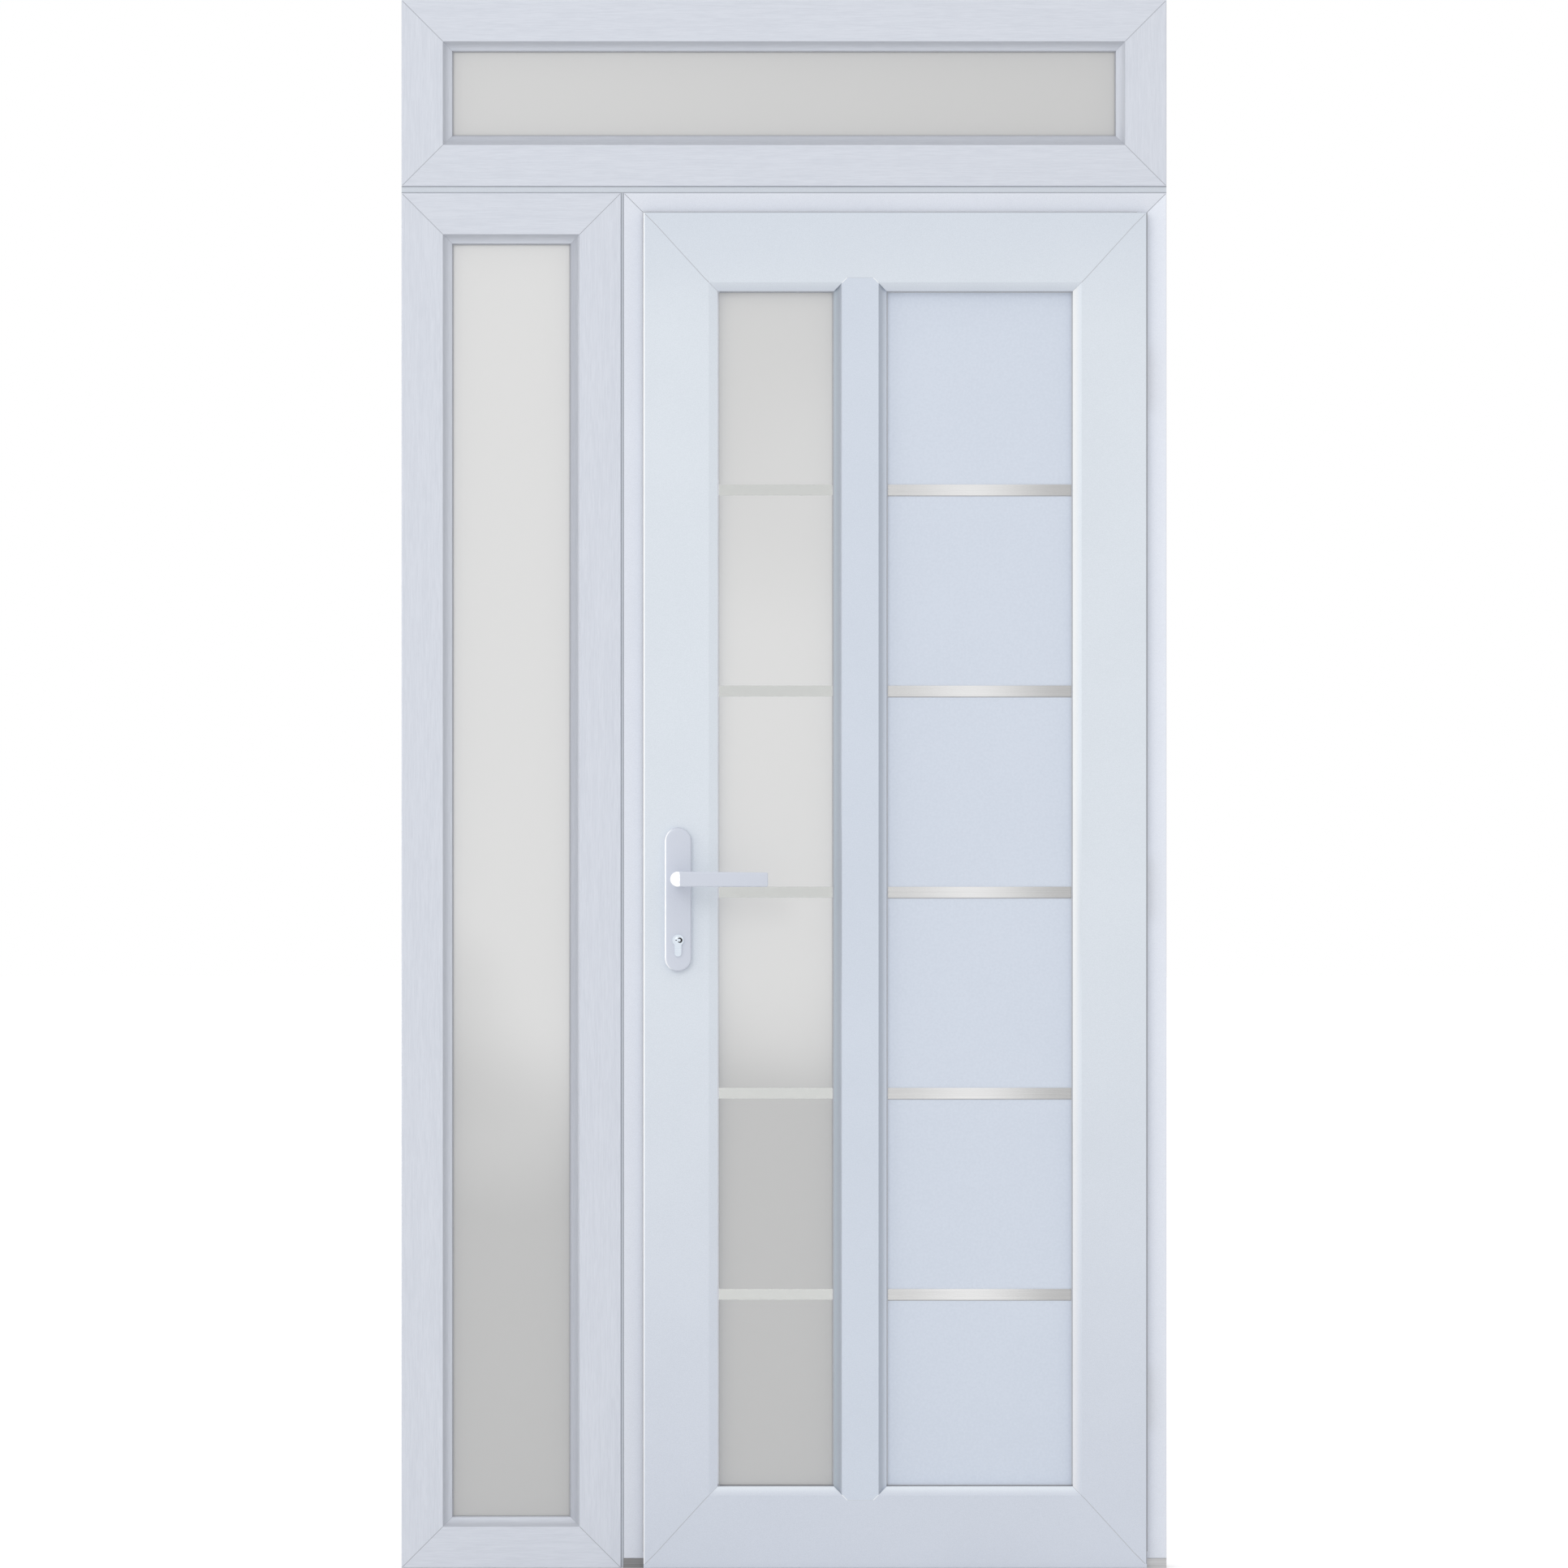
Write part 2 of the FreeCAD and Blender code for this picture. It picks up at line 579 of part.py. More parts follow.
def lever(face, outward):
    """Lever handle: a neck through the plate, then the shape that its front and plan outlines share."""
    plate_face = face + outward * PLATE_THICKNESS
    grip_front = plate_face + outward * LEVER_REACH
    elbow_back = plate_face + outward * (LEVER_REACH - GRIP_THICKNESS - NECK_RADIUS)
    from_front = elevation_prism([(HANDLE_X + c[0], HANDLE_HEIGHT + c[1], *c[2:]) for c in lever_elevation()],
                                 plate_face, grip_front)
    from_above = plan_prism([(HANDLE_X + x, plate_face + outward * d) for x, d in lever_plan()],
                            HANDLE_HEIGHT - LEVER_HEIGHT, HANDLE_HEIGHT + LEVER_HEIGHT)
    body = from_front.common(from_above)
    shown = [e for e in body.Edges if any(abs(v.Point.y - elbow_back) > TOUCH for v in e.Vertexes)
             and not (is_along_depth(e) and e.CenterOfMass.x < HANDLE_X + NECK_RADIUS)]
    body = body.makeChamfer(GRIP_CHAMFER, shown)
    neck_start = face + outward * NECK_CLEARANCE
    neck_end = elbow_back + outward * NECK_RADIUS
    neck = through_leaf(NECK_RADIUS, HANDLE_HEIGHT, min(neck_start, neck_end), max(neck_start, neck_end))
    return body.fuse(neck).removeSplitter()


def spindle():
    """Square bar that joins the two levers through the leaf."""
    half = SPINDLE_SIDE / 2
    return block((HANDLE_X - half, LEAF_FRONT - NECK_CLEARANCE, HANDLE_HEIGHT - half),
                 (HANDLE_X + half, LEAF_BACK + NECK_CLEARANCE, HANDLE_HEIGHT + half))


def hinge_middles():
    """Height of the middle of each hinge, evenly spaced between the lowest and the highest."""
    low = LEAF_BOTTOM + HINGE_END_DISTANCE
    step = (LEAF_TOP - HINGE_END_DISTANCE - low) / (HINGE_COUNT - 1)
    return [low + i * step for i in range(HINGE_COUNT)]


def hinge_pockets(front, back):
    """The room for each hinge's knuckles, open to the back and the outer edge of the flange."""
    half = HINGE_LENGTH / 2 + POCKET_CLEARANCE
    return [block((LEAF_RIGHT - FLANGE_WIDTH, front, z - half), (LEAF_RIGHT, back, z + half))
            for z in hinge_middles()]


def knuckle(bottom, top):
    """A round knuckle on the hinge axis, bored for the pin."""
    axis = vector(PIN_X, PIN_Y, bottom)
    bore = Part.makeCylinder(PIN_RADIUS + PIN_CLEARANCE, top - bottom, axis)
    return Part.makeCylinder(KNUCKLE_RADIUS, top - bottom, axis), bore


def hinge_thirds(middle):
    """The heights where a hinge's three knuckles part."""
    low = middle - HINGE_LENGTH / 2
    return [low + HINGE_LENGTH * i / 3 for i in range(4)]


def frame_hinge_half(middle):
    """Plate on the jamb's rebate face, with a neck and a knuckle at each end."""
    z = hinge_thirds(middle)
    rebate_x = RIGHT - FRAME_REBATE
    inner = rebate_x - HINGE_PLATE
    body = block((inner, FRAME_FRONT, z[0]), (rebate_x, FRAME_FRONT + HINGE_PLATE_DEPTH, z[3]))
    for low, high in ((z[0], z[1]), (z[2], z[3])):
        round_part, bore = knuckle(low, high)
        neck = block((inner, PIN_Y, low), (rebate_x, FRAME_FRONT, high))
        body = body.fuse([round_part, neck]).cut(bore)
    return body.removeSplitter()


def leaf_hinge_half(middle):
    """Plate on the leaf's edge, with a block in the flange pocket and a knuckle in the middle."""
    z = hinge_thirds(middle)
    edge_x = LEAF_RIGHT - FLANGE_WIDTH
    low = z[1] + KNUCKLE_CLEARANCE
    high = z[2] - KNUCKLE_CLEARANCE
    round_part, bore = knuckle(low, high)
    plate = block((edge_x, FLANGE_BACK, z[0]), (edge_x + HINGE_PLATE, FLANGE_BACK + HINGE_PLATE_DEPTH, z[3]))
    arm = block((edge_x, PIN_Y - KNUCKLE_RADIUS, low), (PIN_X, FLANGE_BACK, high))
    return plate.fuse([arm, round_part]).cut(bore).removeSplitter()


def hinge_pin(middle):
    """Pin through a hinge's three knuckles."""
    z = hinge_thirds(middle)
    return Part.makeCylinder(PIN_RADIUS, z[3] - z[0], vector(PIN_X, PIN_Y, z[0]))


def leaf_members():
    """Mitred stiles and rails: the rails notched for the mullion, the stiles cut for the lock and hinges."""
    widths = {"left": LEAF_STILE_WIDTH, "right": LEAF_STILE_WIDTH,
              "sill": LEAF_RAIL_WIDTH, "head": LEAF_RAIL_WIDTH}
    bars = {side: mitred_member(side, LEAF, leaf_profile(width), LEAF_FRONT, LEAF_DEPTH, leaf_mitre())
            for side, width in widths.items()}
    bar, notch = mullion()
    spindle_hole = through_leaf(SPINDLE_HOLE_RADIUS, HANDLE_HEIGHT, LEAF_FRONT, LEAF_BACK)
    cylinder_hole = cylinder_prism(LEAF_FRONT, LEAF_BACK, CYLINDER_CLEARANCE)
    lock_stile = bars["left"].cut(spindle_hole).cut(cylinder_hole)
    pocket_front = PIN_Y - KNUCKLE_RADIUS - KNUCKLE_CLEARANCE
    hinge_stile = bars["right"]
    for pocket in hinge_pockets(pocket_front, FLANGE_BACK):
        hinge_stile = hinge_stile.cut(pocket)
    return {
        "leaf_lock_stile": lock_stile,
        "leaf_hinge_stile": hinge_stile,
        "leaf_top_rail": bars["head"].cut(notch),
        "leaf_bottom_rail": bars["sill"].cut(notch),
        "leaf_mullion": bar,
    }


def strip_rects():
    """The steel strips in the elevation, evenly spaced up the panel light."""
    left, bottom, right, _ = PANEL_LIGHT
    inset = GASKET_SHOWING + STRIP_END_CLEARANCE
    lows = [bottom + LOWEST_FIELD + i * STRIP_PITCH for i in range(STRIP_COUNT)]
    return [(left + inset, low, right - inset, low + STRIP_HEIGHT) for low in lows]


def leaf_panel():
    """Flat insulated panel with a strip let into shallow grooves on both faces."""
    front = LEAF_FRONT + GLAZING_FRONT
    back = LEAF_FRONT + GLAZING_BACK
    let_in = STRIP_THICKNESS - STRIP_PROUD
    panel = slab(grown(PANEL_LIGHT, PANE_COVERED), front, back)
    strips = []
    for rect in strip_rects():
        strips.append(slab(rect, front - STRIP_PROUD, front + let_in))
        strips.append(slab(rect, back - let_in, back + STRIP_PROUD))
    for strip in strips:
        panel = panel.cut(strip)
    return {"leaf_panel": panel, "panel_steel_strips": strips}


def leaf_seal():
    """Rubber seal on the back of the flange, left out at the hinges."""
    near = FLANGE_BACK
    far = FRAME_FRONT - SEAL_CLEARANCE
    outer = grown(LEAF, -LEAF_SEAL_INSET)
    ring = slab(outer, near, far).cut(slab(grown(outer, -LEAF_SEAL_WIDTH), near, far))
    for pocket in hinge_pockets(near, far):
        ring = ring.cut(pocket)
    return ring.Solids


def bottom_seal():
    """Brush under the bottom rail, just clear of the threshold."""
    left = LEAF_LEFT + FLANGE_WIDTH
    right = LEAF_RIGHT - FLANGE_WIDTH
    top = LEAF_BOTTOM + FLANGE_WIDTH
    return block((left, -BRUSH_WIDTH / 2, THRESHOLD_HEIGHT + BRUSH_CLEARANCE), (right, BRUSH_WIDTH / 2, top))


def lock_edge():
    """Faceplate on the leaf's edge with latch and deadbolt drawn back, and the strike plate opposite."""
    middle_y = (FLANGE_BACK + LEAF_BACK) / 2
    edge = LEAF_LEFT + FLANGE_WIDTH
    shown = edge - FACEPLATE_THICKNESS
    half = FACEPLATE_WIDTH / 2
    middle_z = LEAF_BOTTOM + LEAF_HEIGHT / 2
    plate = block((shown, middle_y - half, middle_z - FACEPLATE_LENGTH / 2),
                  (edge, middle_y + half, middle_z + FACEPLATE_LENGTH / 2))
    rebate_x = DOOR_LEFT + FRAME_REBATE
    strike_half = STRIKE_WIDTH / 2
    strike = block((rebate_x, middle_y - strike_half, CYLINDER_Z - DEADBOLT_HEIGHT / 2 - STRIKE_MARGIN),
                   (rebate_x + STRIKE_THICKNESS, middle_y + strike_half,
                    HANDLE_HEIGHT + LATCH_HEIGHT / 2 + STRIKE_MARGIN))
    bolts = []
    for z, height in ((HANDLE_HEIGHT, LATCH_HEIGHT), (CYLINDER_Z, DEADBOLT_HEIGHT)):
        bolts.append(block((shown - BOLT_PROUD, middle_y - BOLT_WIDTH / 2, z - height / 2),
                           (edge, middle_y + BOLT_WIDTH / 2, z + height / 2)))
        strike = strike.cut(block((rebate_x, middle_y - BOLT_WIDTH / 2, z - height / 2),
                                  (rebate_x + STRIKE_THICKNESS, middle_y + BOLT_WIDTH / 2, z + height / 2)))
    for bolt in bolts:
        plate = plate.cut(bolt)
    return {"lock_faceplate": plate, "lock_bolts": bolts, "strike_plate": strike}


def hinges():
    """The two halves and the pin of every hinge."""
    middles = hinge_middles()
    return {
        "hinge_frame_halves": [frame_hinge_half(z) for z in middles],
        "hinge_leaf_halves": [leaf_hinge_half(z) for z in middles],
        "hinge_pins": [hinge_pin(z) for z in middles],
    }


def all_nodes():
    """Every named piece, as one solid or as several that lie apart."""
    members = {"head": "head", "sill": "sill", "left": "left_jamb", "right": "right_jamb"}
    lights = (GLASS_LIGHT, PANEL_LIGHT)
    nodes = {}
    nodes.update(fixed_light("transom", TRANSOM, members))
    nodes.update(fixed_light("sidelight", SIDELIGHT, members))
    nodes.update(couplers())
    nodes.update(door_frame())
    nodes.update({"threshold": threshold(), "frame_seal": frame_seal()})
    nodes.update(leaf_members())
    nodes.update(leaf_panel())
    nodes.update({
        "leaf_glass": panes(GLASS_LIGHT, LEAF_FRONT),
        "leaf_gaskets": [gasket(light, LEAF_FRONT) for light in lights],
        "leaf_beads": [bead for light in lights for bead in beads(light, LEAF_FRONT, LEAF_DEPTH)],
        "leaf_seal": leaf_seal(),
        "bottom_seal": bottom_seal(),
        "handle_plate_front": handle_plate(LEAF_FRONT, -1),
        "handle_plate_back": handle_plate(LEAF_BACK, 1),
        "lock_cylinder": lock_cylinder(),
        "lever_front": lever(LEAF_FRONT, -1),
        "lever_back": lever(LEAF_BACK, 1),
        "lever_spindle": spindle(),
    })
    nodes.update(lock_edge())
    nodes.update(hinges())
    return nodes


def main():
    os.makedirs("parts", exist_ok=True)
    for name, made in all_nodes().items():
        solids = made if isinstance(made, list) else made.Solids
        shape = solids[0] if len(solids) == 1 else Part.makeCompound(solids)
        shape.exportStep(f"parts/{name}.step")


main()
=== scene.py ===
"""Looks of a white PVC entrance door with one sidelight and a transom.

Everything is in metres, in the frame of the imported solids. New pieces are surfaces worked out as whole
arrays: outlines, sections and rims carried along straight runs. A shape here is a pair: an array of
points, and its faces as a list of index arrays.
"""

import math

import bmesh
import bpy
import numpy as np
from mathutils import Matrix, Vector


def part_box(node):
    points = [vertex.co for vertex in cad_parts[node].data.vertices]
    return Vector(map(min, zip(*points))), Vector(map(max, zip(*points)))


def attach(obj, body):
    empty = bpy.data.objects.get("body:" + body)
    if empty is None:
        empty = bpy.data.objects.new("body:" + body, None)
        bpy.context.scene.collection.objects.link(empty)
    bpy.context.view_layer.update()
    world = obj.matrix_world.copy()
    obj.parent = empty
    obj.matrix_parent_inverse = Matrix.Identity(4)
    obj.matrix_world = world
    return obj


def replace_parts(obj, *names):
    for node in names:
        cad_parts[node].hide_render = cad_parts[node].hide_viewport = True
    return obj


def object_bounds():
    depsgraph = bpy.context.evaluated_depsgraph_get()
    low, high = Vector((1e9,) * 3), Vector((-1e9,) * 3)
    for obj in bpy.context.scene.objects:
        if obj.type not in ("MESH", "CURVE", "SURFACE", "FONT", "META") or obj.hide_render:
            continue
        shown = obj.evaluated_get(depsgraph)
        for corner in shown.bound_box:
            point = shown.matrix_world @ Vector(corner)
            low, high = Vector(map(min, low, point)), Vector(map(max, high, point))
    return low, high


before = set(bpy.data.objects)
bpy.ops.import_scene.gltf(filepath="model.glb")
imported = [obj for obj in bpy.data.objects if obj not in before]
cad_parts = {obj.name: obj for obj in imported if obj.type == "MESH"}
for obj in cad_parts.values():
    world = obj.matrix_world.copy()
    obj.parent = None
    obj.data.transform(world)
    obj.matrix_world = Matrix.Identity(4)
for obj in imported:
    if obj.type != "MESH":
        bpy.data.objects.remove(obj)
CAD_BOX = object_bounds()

MM = 0.001

# Sizes that the solids' boxes do not give
FIXED_FACE = 75.5 * MM
COVE_WIDTH = 13.5 * MM
COVE_DEPTH = 13.0 * MM
COVE_HOLLOW = 1.2 * MM
LEAF_STILE = 111.0 * MM
LEAF_RAIL = 118.0 * MM
LEAF_BEVEL_WIDTH = 13.0 * MM
LEAF_BEVEL_DEPTH = 7.0 * MM
LEAF_EDGE_RADIUS = 2.5 * MM
FACE_EDGE_RADIUS = 1.5 * MM
FLANGE_WIDTH = 20.0 * MM
GLAZING_REBATE = 20.0 * MM
GASKET_SHOWING = 2.0 * MM
BEAD_LIP_SHOWING = 1.4 * MM
BEAD_LIP_COVERED = 0.5 * MM
BEAD_LIP_DEPTH = 1.6 * MM
PANE_COVERED = 15.0 * MM
PANE_THICKNESS = 4.0 * MM
SPACER_INSET = 0.5 * MM
SPACER_WIDTH = 10.5 * MM
SPACER_SET_BACK = PANE_COVERED - SPACER_INSET - SPACER_WIDTH
DOOR_FRAME_FACE = 38.0 * MM
DOOR_FRAME_BACK = 56.0 * MM
MULLION_COVE = 12.0 * MM
STRIP_COUNT = 5
STRIP_HEIGHT = 16.5 * MM

# Handle set
LEVER_LENGTH = 135.0 * MM
LEVER_HEIGHT = 23.0 * MM
LEVER_TIP_DROP = 1.6 * MM
LEVER_TIP_LENGTH = 14.0 * MM
LEVER_REACH = 51.9 * MM
GRIP_THICKNESS = 14.0 * MM
GRIP_TAPER = 2.5 * MM
GRIP_EDGE_RADIUS = 2.2 * MM
ELBOW_SPREAD = 5.0 * MM
NECK_RADIUS = 9.0 * MM
NECK_CLEARANCE = 0.3 * MM
NECK_FLARE = 1.2 * MM
NECK_FLARE_LENGTH = 2.0 * MM
NECK_OVERLAP = 0.5 * MM
COLLAR_CLEARANCE = 0.4 * MM
COLLAR_WIDTH = 2.0 * MM
COLLAR_HEIGHT = 1.2 * MM
COLLAR_EDGE = 0.5 * MM
COLLAR_SEAT = 0.2 * MM
PLATE_THICKNESS = 10.0 * MM
PLATE_RIM_RADIUS = 3.2 * MM
PLATE_CROWN = 0.4 * MM
CYLINDER_DROP = 92.0 * MM
HINGE_COUNT = 3
HINGE_LENGTH = 90.0 * MM
HINGE_PLATE = 3.0 * MM

# Camera: the picture is as high as the part
IMAGE_HEIGHT = CAD_BOX[1].z - CAD_BOX[0].z
LENS = 300.0
SENSOR = 36.0

FRAME_FRONT, FRAME_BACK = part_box("sidelight_head")[0].y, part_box("sidelight_head")[1].y
LEAF_FRONT, LEAF_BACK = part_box("leaf_top_rail")[0].y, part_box("leaf_top_rail")[1].y
HANDLE_X = sum(corner.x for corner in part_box("lever_spindle")) / 2
HANDLE_Z = sum(corner.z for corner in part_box("lever_spindle")) / 2
CYLINDER_Z = HANDLE_Z - CYLINDER_DROP


def elevation(*nodes):
    """The rectangle (left, bottom, right, top) that some nodes cover from the front."""
    boxes = [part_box(node) for node in nodes]
    return (min(low.x for low, high in boxes), min(low.z for low, high in boxes),
            max(high.x for low, high in boxes), max(high.z for low, high in boxes))


def grown(rect, margin):
    """The rectangle with every side moved outwards by margin."""
    left, bottom, right, top = rect
    return (left - margin, bottom - margin, right + margin, top + margin)


TRANSOM = elevation("transom_head", "transom_sill")
SIDELIGHT = elevation("sidelight_head", "sidelight_sill")
DOOR_FRAME = elevation("door_frame_head", "door_frame_lock_jamb", "door_frame_hinge_jamb")
LEAF = elevation("leaf_top_rail", "leaf_bottom_rail")
TRANSOM_OPENING = grown(TRANSOM, -FIXED_FACE)
SIDELIGHT_OPENING = grown(SIDELIGHT, -FIXED_FACE)
GLASS_LIGHT = grown(elevation("leaf_glass"), -PANE_COVERED)
PANEL_LIGHT = grown(elevation("leaf_panel"), -PANE_COVERED)
STRIPS = elevation("panel_steel_strips")
RIGHT = CAD_BOX[1].x


# Shapes


def ring_quads(rings, around):
    """Index quads of a tube of closed rings: each corner is joined round its ring and to the next ring."""
    corner = np.arange(rings * around).reshape(rings, around)
    beside = np.roll(corner, -1, axis=1)
    return np.stack([corner[:-1], beside[:-1], beside[1:], corner[1:]], axis=-1).reshape(-1, 4)


def loft(rings):
    """A closed skin through rings of points, shaped (rings, around, 3), with a flat cap on both ends."""
    rings = np.asarray(rings, float)
    count, around = rings.shape[:2]
    first = np.arange(around)[None, ::-1]
    last = np.arange(around)[None] + (count - 1) * around
    return rings.reshape(-1, 3), [ring_quads(count, around), first, last]


def hoop(rings):
    """A closed skin through rings of points where the last ring joins the first again."""
    rings = np.asarray(rings, float)
    count, around = rings.shape[:2]
    quads = ring_quads(count + 1, around) % (count * around)
    return rings.reshape(-1, 3), [quads]


def joined(shapes):
    """Several shapes as one, with each shape's indices moved on past the points before it."""
    points = np.concatenate([shape[0] for shape in shapes])
    starts = np.cumsum([0] + [len(shape[0]) for shape in shapes[:-1]])
    faces = [part + start for shape, start in zip(shapes, starts) for part in shape[1]]
    return points, faces


def repeated(shape, places):
    """One shape at many places, worked out as one array."""
    points, faces = shape
    places = np.asarray(places, float)
    steps = np.arange(len(places)) * len(points)
    moved = (places[:, None] + points[None]).reshape(-1, 3)
    return moved, [(part[None] + steps[:, None, None]).reshape(-1, part.shape[1]) for part in faces]


def placed(name, data):
    """An object made from its data and put in the scene."""
    made = bpy.data.objects.new(name, data)
    bpy.context.scene.collection.objects.link(made)
    return made


def piece(name, shape, look, body, smooth_angle=35.0):
    """A mesh object from a shape: poles merged, faces outward, smooth under an angle, riding on a body."""
    points, faces = shape
    mesh = bpy.data.meshes.new(name)
    mesh.from_pydata(points.tolist(), [], [face for part in faces for face in part.tolist()])
    work = bmesh.new()
    work.from_mesh(mesh)
    bmesh.ops.remove_doubles(work, verts=work.verts, dist=1e-7)
    bmesh.ops.dissolve_degenerate(work, edges=work.edges, dist=1e-7)
    bmesh.ops.recalc_face_normals(work, faces=work.faces)
    work.to_mesh(mesh)
    work.free()
    mesh.shade_smooth()
    mesh.set_sharp_from_angle(angle=math.radians(smooth_angle))
    mesh.materials.append(LOOKS[look])
    made = placed(name, mesh)
    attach(made, body)
    return made


def arc(start, stop, count):
    """Cosines and sines of evenly spaced angles, in degrees, as an array (count, 2)."""
    angle = np.radians(np.linspace(start, stop, count))
    return np.stack([np.cos(angle), np.sin(angle)], axis=1)


def bowed(start, end, hollow, count):
    """Points on the arc from start to end whose middle stands hollow to the left of the straight line."""
    start, end = np.asarray(start, float), np.asarray(end, float)
    run = end - start
    length = np.hypot(*run)
    left = np.array([-run[1], run[0]]) / length
    radius = (length ** 2 / 4 + hollow ** 2) / (2 * hollow)
    share = np.linspace(-1, 1, count)
    half_angle = math.asin(length / 2 / radius)
    along = radius * np.sin(share * half_angle)
    rise = radius * np.cos(share * half_angle) - (radius - hollow)
    return (start + end) / 2 + along[:, None] * run / length + rise[:, None] * left


def rounded_rectangle(rect, radius, steps=8):
    """A rectangle's outline with quarter-circle corners, anticlockwise from the lower right, as (x, z)."""
    left, bottom, right, top = rect
    middles = np.array([(right - radius, bottom + radius), (right - radius, top - radius),
                        (left + radius, top - radius), (left + radius, bottom + radius)])
    quarters = np.stack([arc(start, start + 90, steps) for start in (-90, 0, 90, 180)])
    return (middles[:, None] + radius * quarters).reshape(-1, 2)


def in_elevation(outline, depth):
    """An outline in (x, z) at one depth, as points in space."""
    outline = np.asarray(outline, float)
    return np.stack([outline[:, 0], np.full(len(outline), depth), outline[:, 1]], axis=1)


def thin_sheet(rect, front, back, corner_radius):
    """A flat sheet: its round-cornered outline at the front and at the back, with the front edge eased."""
    ease = (back - front) / 2
    outlines = [(grown(rect, -abs(ease)), front), (rect, front + ease), (rect, back)]
    return loft([in_elevation(rounded_rectangle(outline, corner_radius), depth)
                 for outline, depth in outlines])


def mitred_ring(rect, section):
    """A section in (inward, depth) carried round a rectangle, with its corners mitred."""
    left, bottom, right, top = rect
    inward, depth = np.asarray(section, float).T
    rings = [np.stack([x + turn_x * inward, depth, z + turn_z * inward], axis=1)
             for x, z, turn_x, turn_z in ((left, bottom, 1, 1), (right, bottom, -1, 1),
                                          (right, top, -1, -1), (left, top, 1, -1))]
    return hoop(rings)


def turned(profile, centre, axis, steps=32):
    """A profile in (radius, distance along the axis) spun round an axis that runs through centre."""
    profile = np.asarray(profile, float)
    axis = np.asarray(axis, float)
    side = np.cross(axis, (0.0, 0.0, 1.0) if abs(axis[2]) < 0.9 else (1.0, 0.0, 0.0))
    other = np.cross(axis, side)
    turn = arc(0, 360, steps + 1)[:-1]
    spokes = turn[:, :1] * side + turn[:, 1:] * other
    rings = profile[:, 0, None, None] * spokes[None] + profile[:, 1, None, None] * axis
    return loft(rings + np.asarray(centre, float))


# Node groups and materials


def add_node(tree, kind, **settings):
    """A node of one kind with its plain settings."""
    node = tree.nodes.new(kind)
    for key, value in settings.items():
        setattr(node, key, value)
    return node


def link(tree, source, target):
    tree.links.new(source, target)


def feed(tree, socket, value):
    """Fill a socket with a number, with a colour of three numbers, or from another socket."""
    if isinstance(value, (int, float)):
        socket.default_value = value
    elif isinstance(value, tuple):
        socket.default_value = (*value, 1.0)
    else:
        link(tree, value, socket)


def math_node(tree, operation, first, second, clamp=False):
    """The result socket of one sum; each operand is a socket or a number."""
    node = add_node(tree, "ShaderNodeMath", operation=operation, use_clamp=clamp)
    for socket, value in zip(node.inputs, (first, second)):
        feed(tree, socket, value)
    return node.outputs[0]


def weighted(tree, first, second, share):
    """A share of the first value and the rest of the second, added up."""
    return math_node(tree, "ADD", math_node(tree, "MULTIPLY", first, share),
                     math_node(tree, "MULTIPLY", second, 1.0 - share))


def coordinate(tree, vector, axis):
    """One coordinate of a vector."""
    split = add_node(tree, "ShaderNodeSeparateXYZ")
    link(tree, vector, split.inputs["Vector"])
    return split.outputs[axis]


def ramp_between(tree, value, low, high, low_result, high_result):
    """A value mapped smoothly from one span to another and held at the ends."""
    node = add_node(tree, "ShaderNodeMapRange", interpolation_type="SMOOTHSTEP")
    link(tree, value, node.inputs["Value"])
    spans = {"From Min": low, "From Max": high, "To Min": low_result, "To Max": high_result}
    for name, number in spans.items():
        node.inputs[name].default_value = number
    return node.outputs["Result"]


def noise(tree, vector, scale, detail, roughness=0.5):
    """Soft noise on a vector."""
    node = add_node(tree, "ShaderNodeTexNoise")
    for name, value in (("Vector", vector), ("Scale", scale), ("Detail", detail), ("Roughness", roughness)):
        feed(tree, node.inputs[name], value)
    return node.outputs["Fac"]


def mixed_colour(tree, factor, first, second, blend="MIX"):
    """Two colours mixed by a factor; each is a socket or three numbers."""
    node = add_node(tree, "ShaderNodeMix", data_type="RGBA", blend_type=blend)
    for name, kind, value in (("Factor", "VALUE", factor), ("A", "RGBA", first), ("B", "RGBA", second)):
        feed(tree, next(s for s in node.inputs if (s.name, s.type) == (name, kind)), value)
    return next(s for s in node.outputs if s.type == "RGBA")


def new_group(name, inputs, outputs):
    """An empty shader node group with named sockets, given as (name, kind)."""
    group = bpy.data.node_groups.new(name, "ShaderNodeTree")
    for label, kind in inputs:
        group.interface.new_socket(label, in_out="INPUT", socket_type=f"NodeSocket{kind}")
    for label, kind in outputs:
        group.interface.new_socket(label, in_out="OUTPUT", socket_type=f"NodeSocket{kind}")
    return group, add_node(group, "NodeGroupInput"), add_node(group, "NodeGroupOutput")


# The span that noise covers, and how far a normal has to point to the front, away from it or to the left, for
# painted shade and painted highlight
NOISE_SPAN = (0.3, 0.7)
FRONT_FACING = (0.05, 0.3)
TURNED_AWAY = (0.08, 0.4)
HALF_LEFT = (0.25, 0.6)


def lengthwise_grain_group():
    """Fine streaks along a stretched vector: thin ones from busy noise, broad ones from slower noise."""
    group, given, result = new_group("lengthwise_grain", [("Vector", "Vector")],
                                     [("Tone", "Float"), ("Height", "Float")])
    thin = noise(group, given.outputs["Vector"], 1.0, 4.0, 0.65)
    broad = noise(group, given.outputs["Vector"], 0.23, 2.0)
    tone = weighted(group, thin, broad, 0.8)
    link(group, ramp_between(group, tone, *NOISE_SPAN, 0.0, 1.0), result.inputs["Tone"])
    link(group, thin, result.inputs["Height"])
    return group


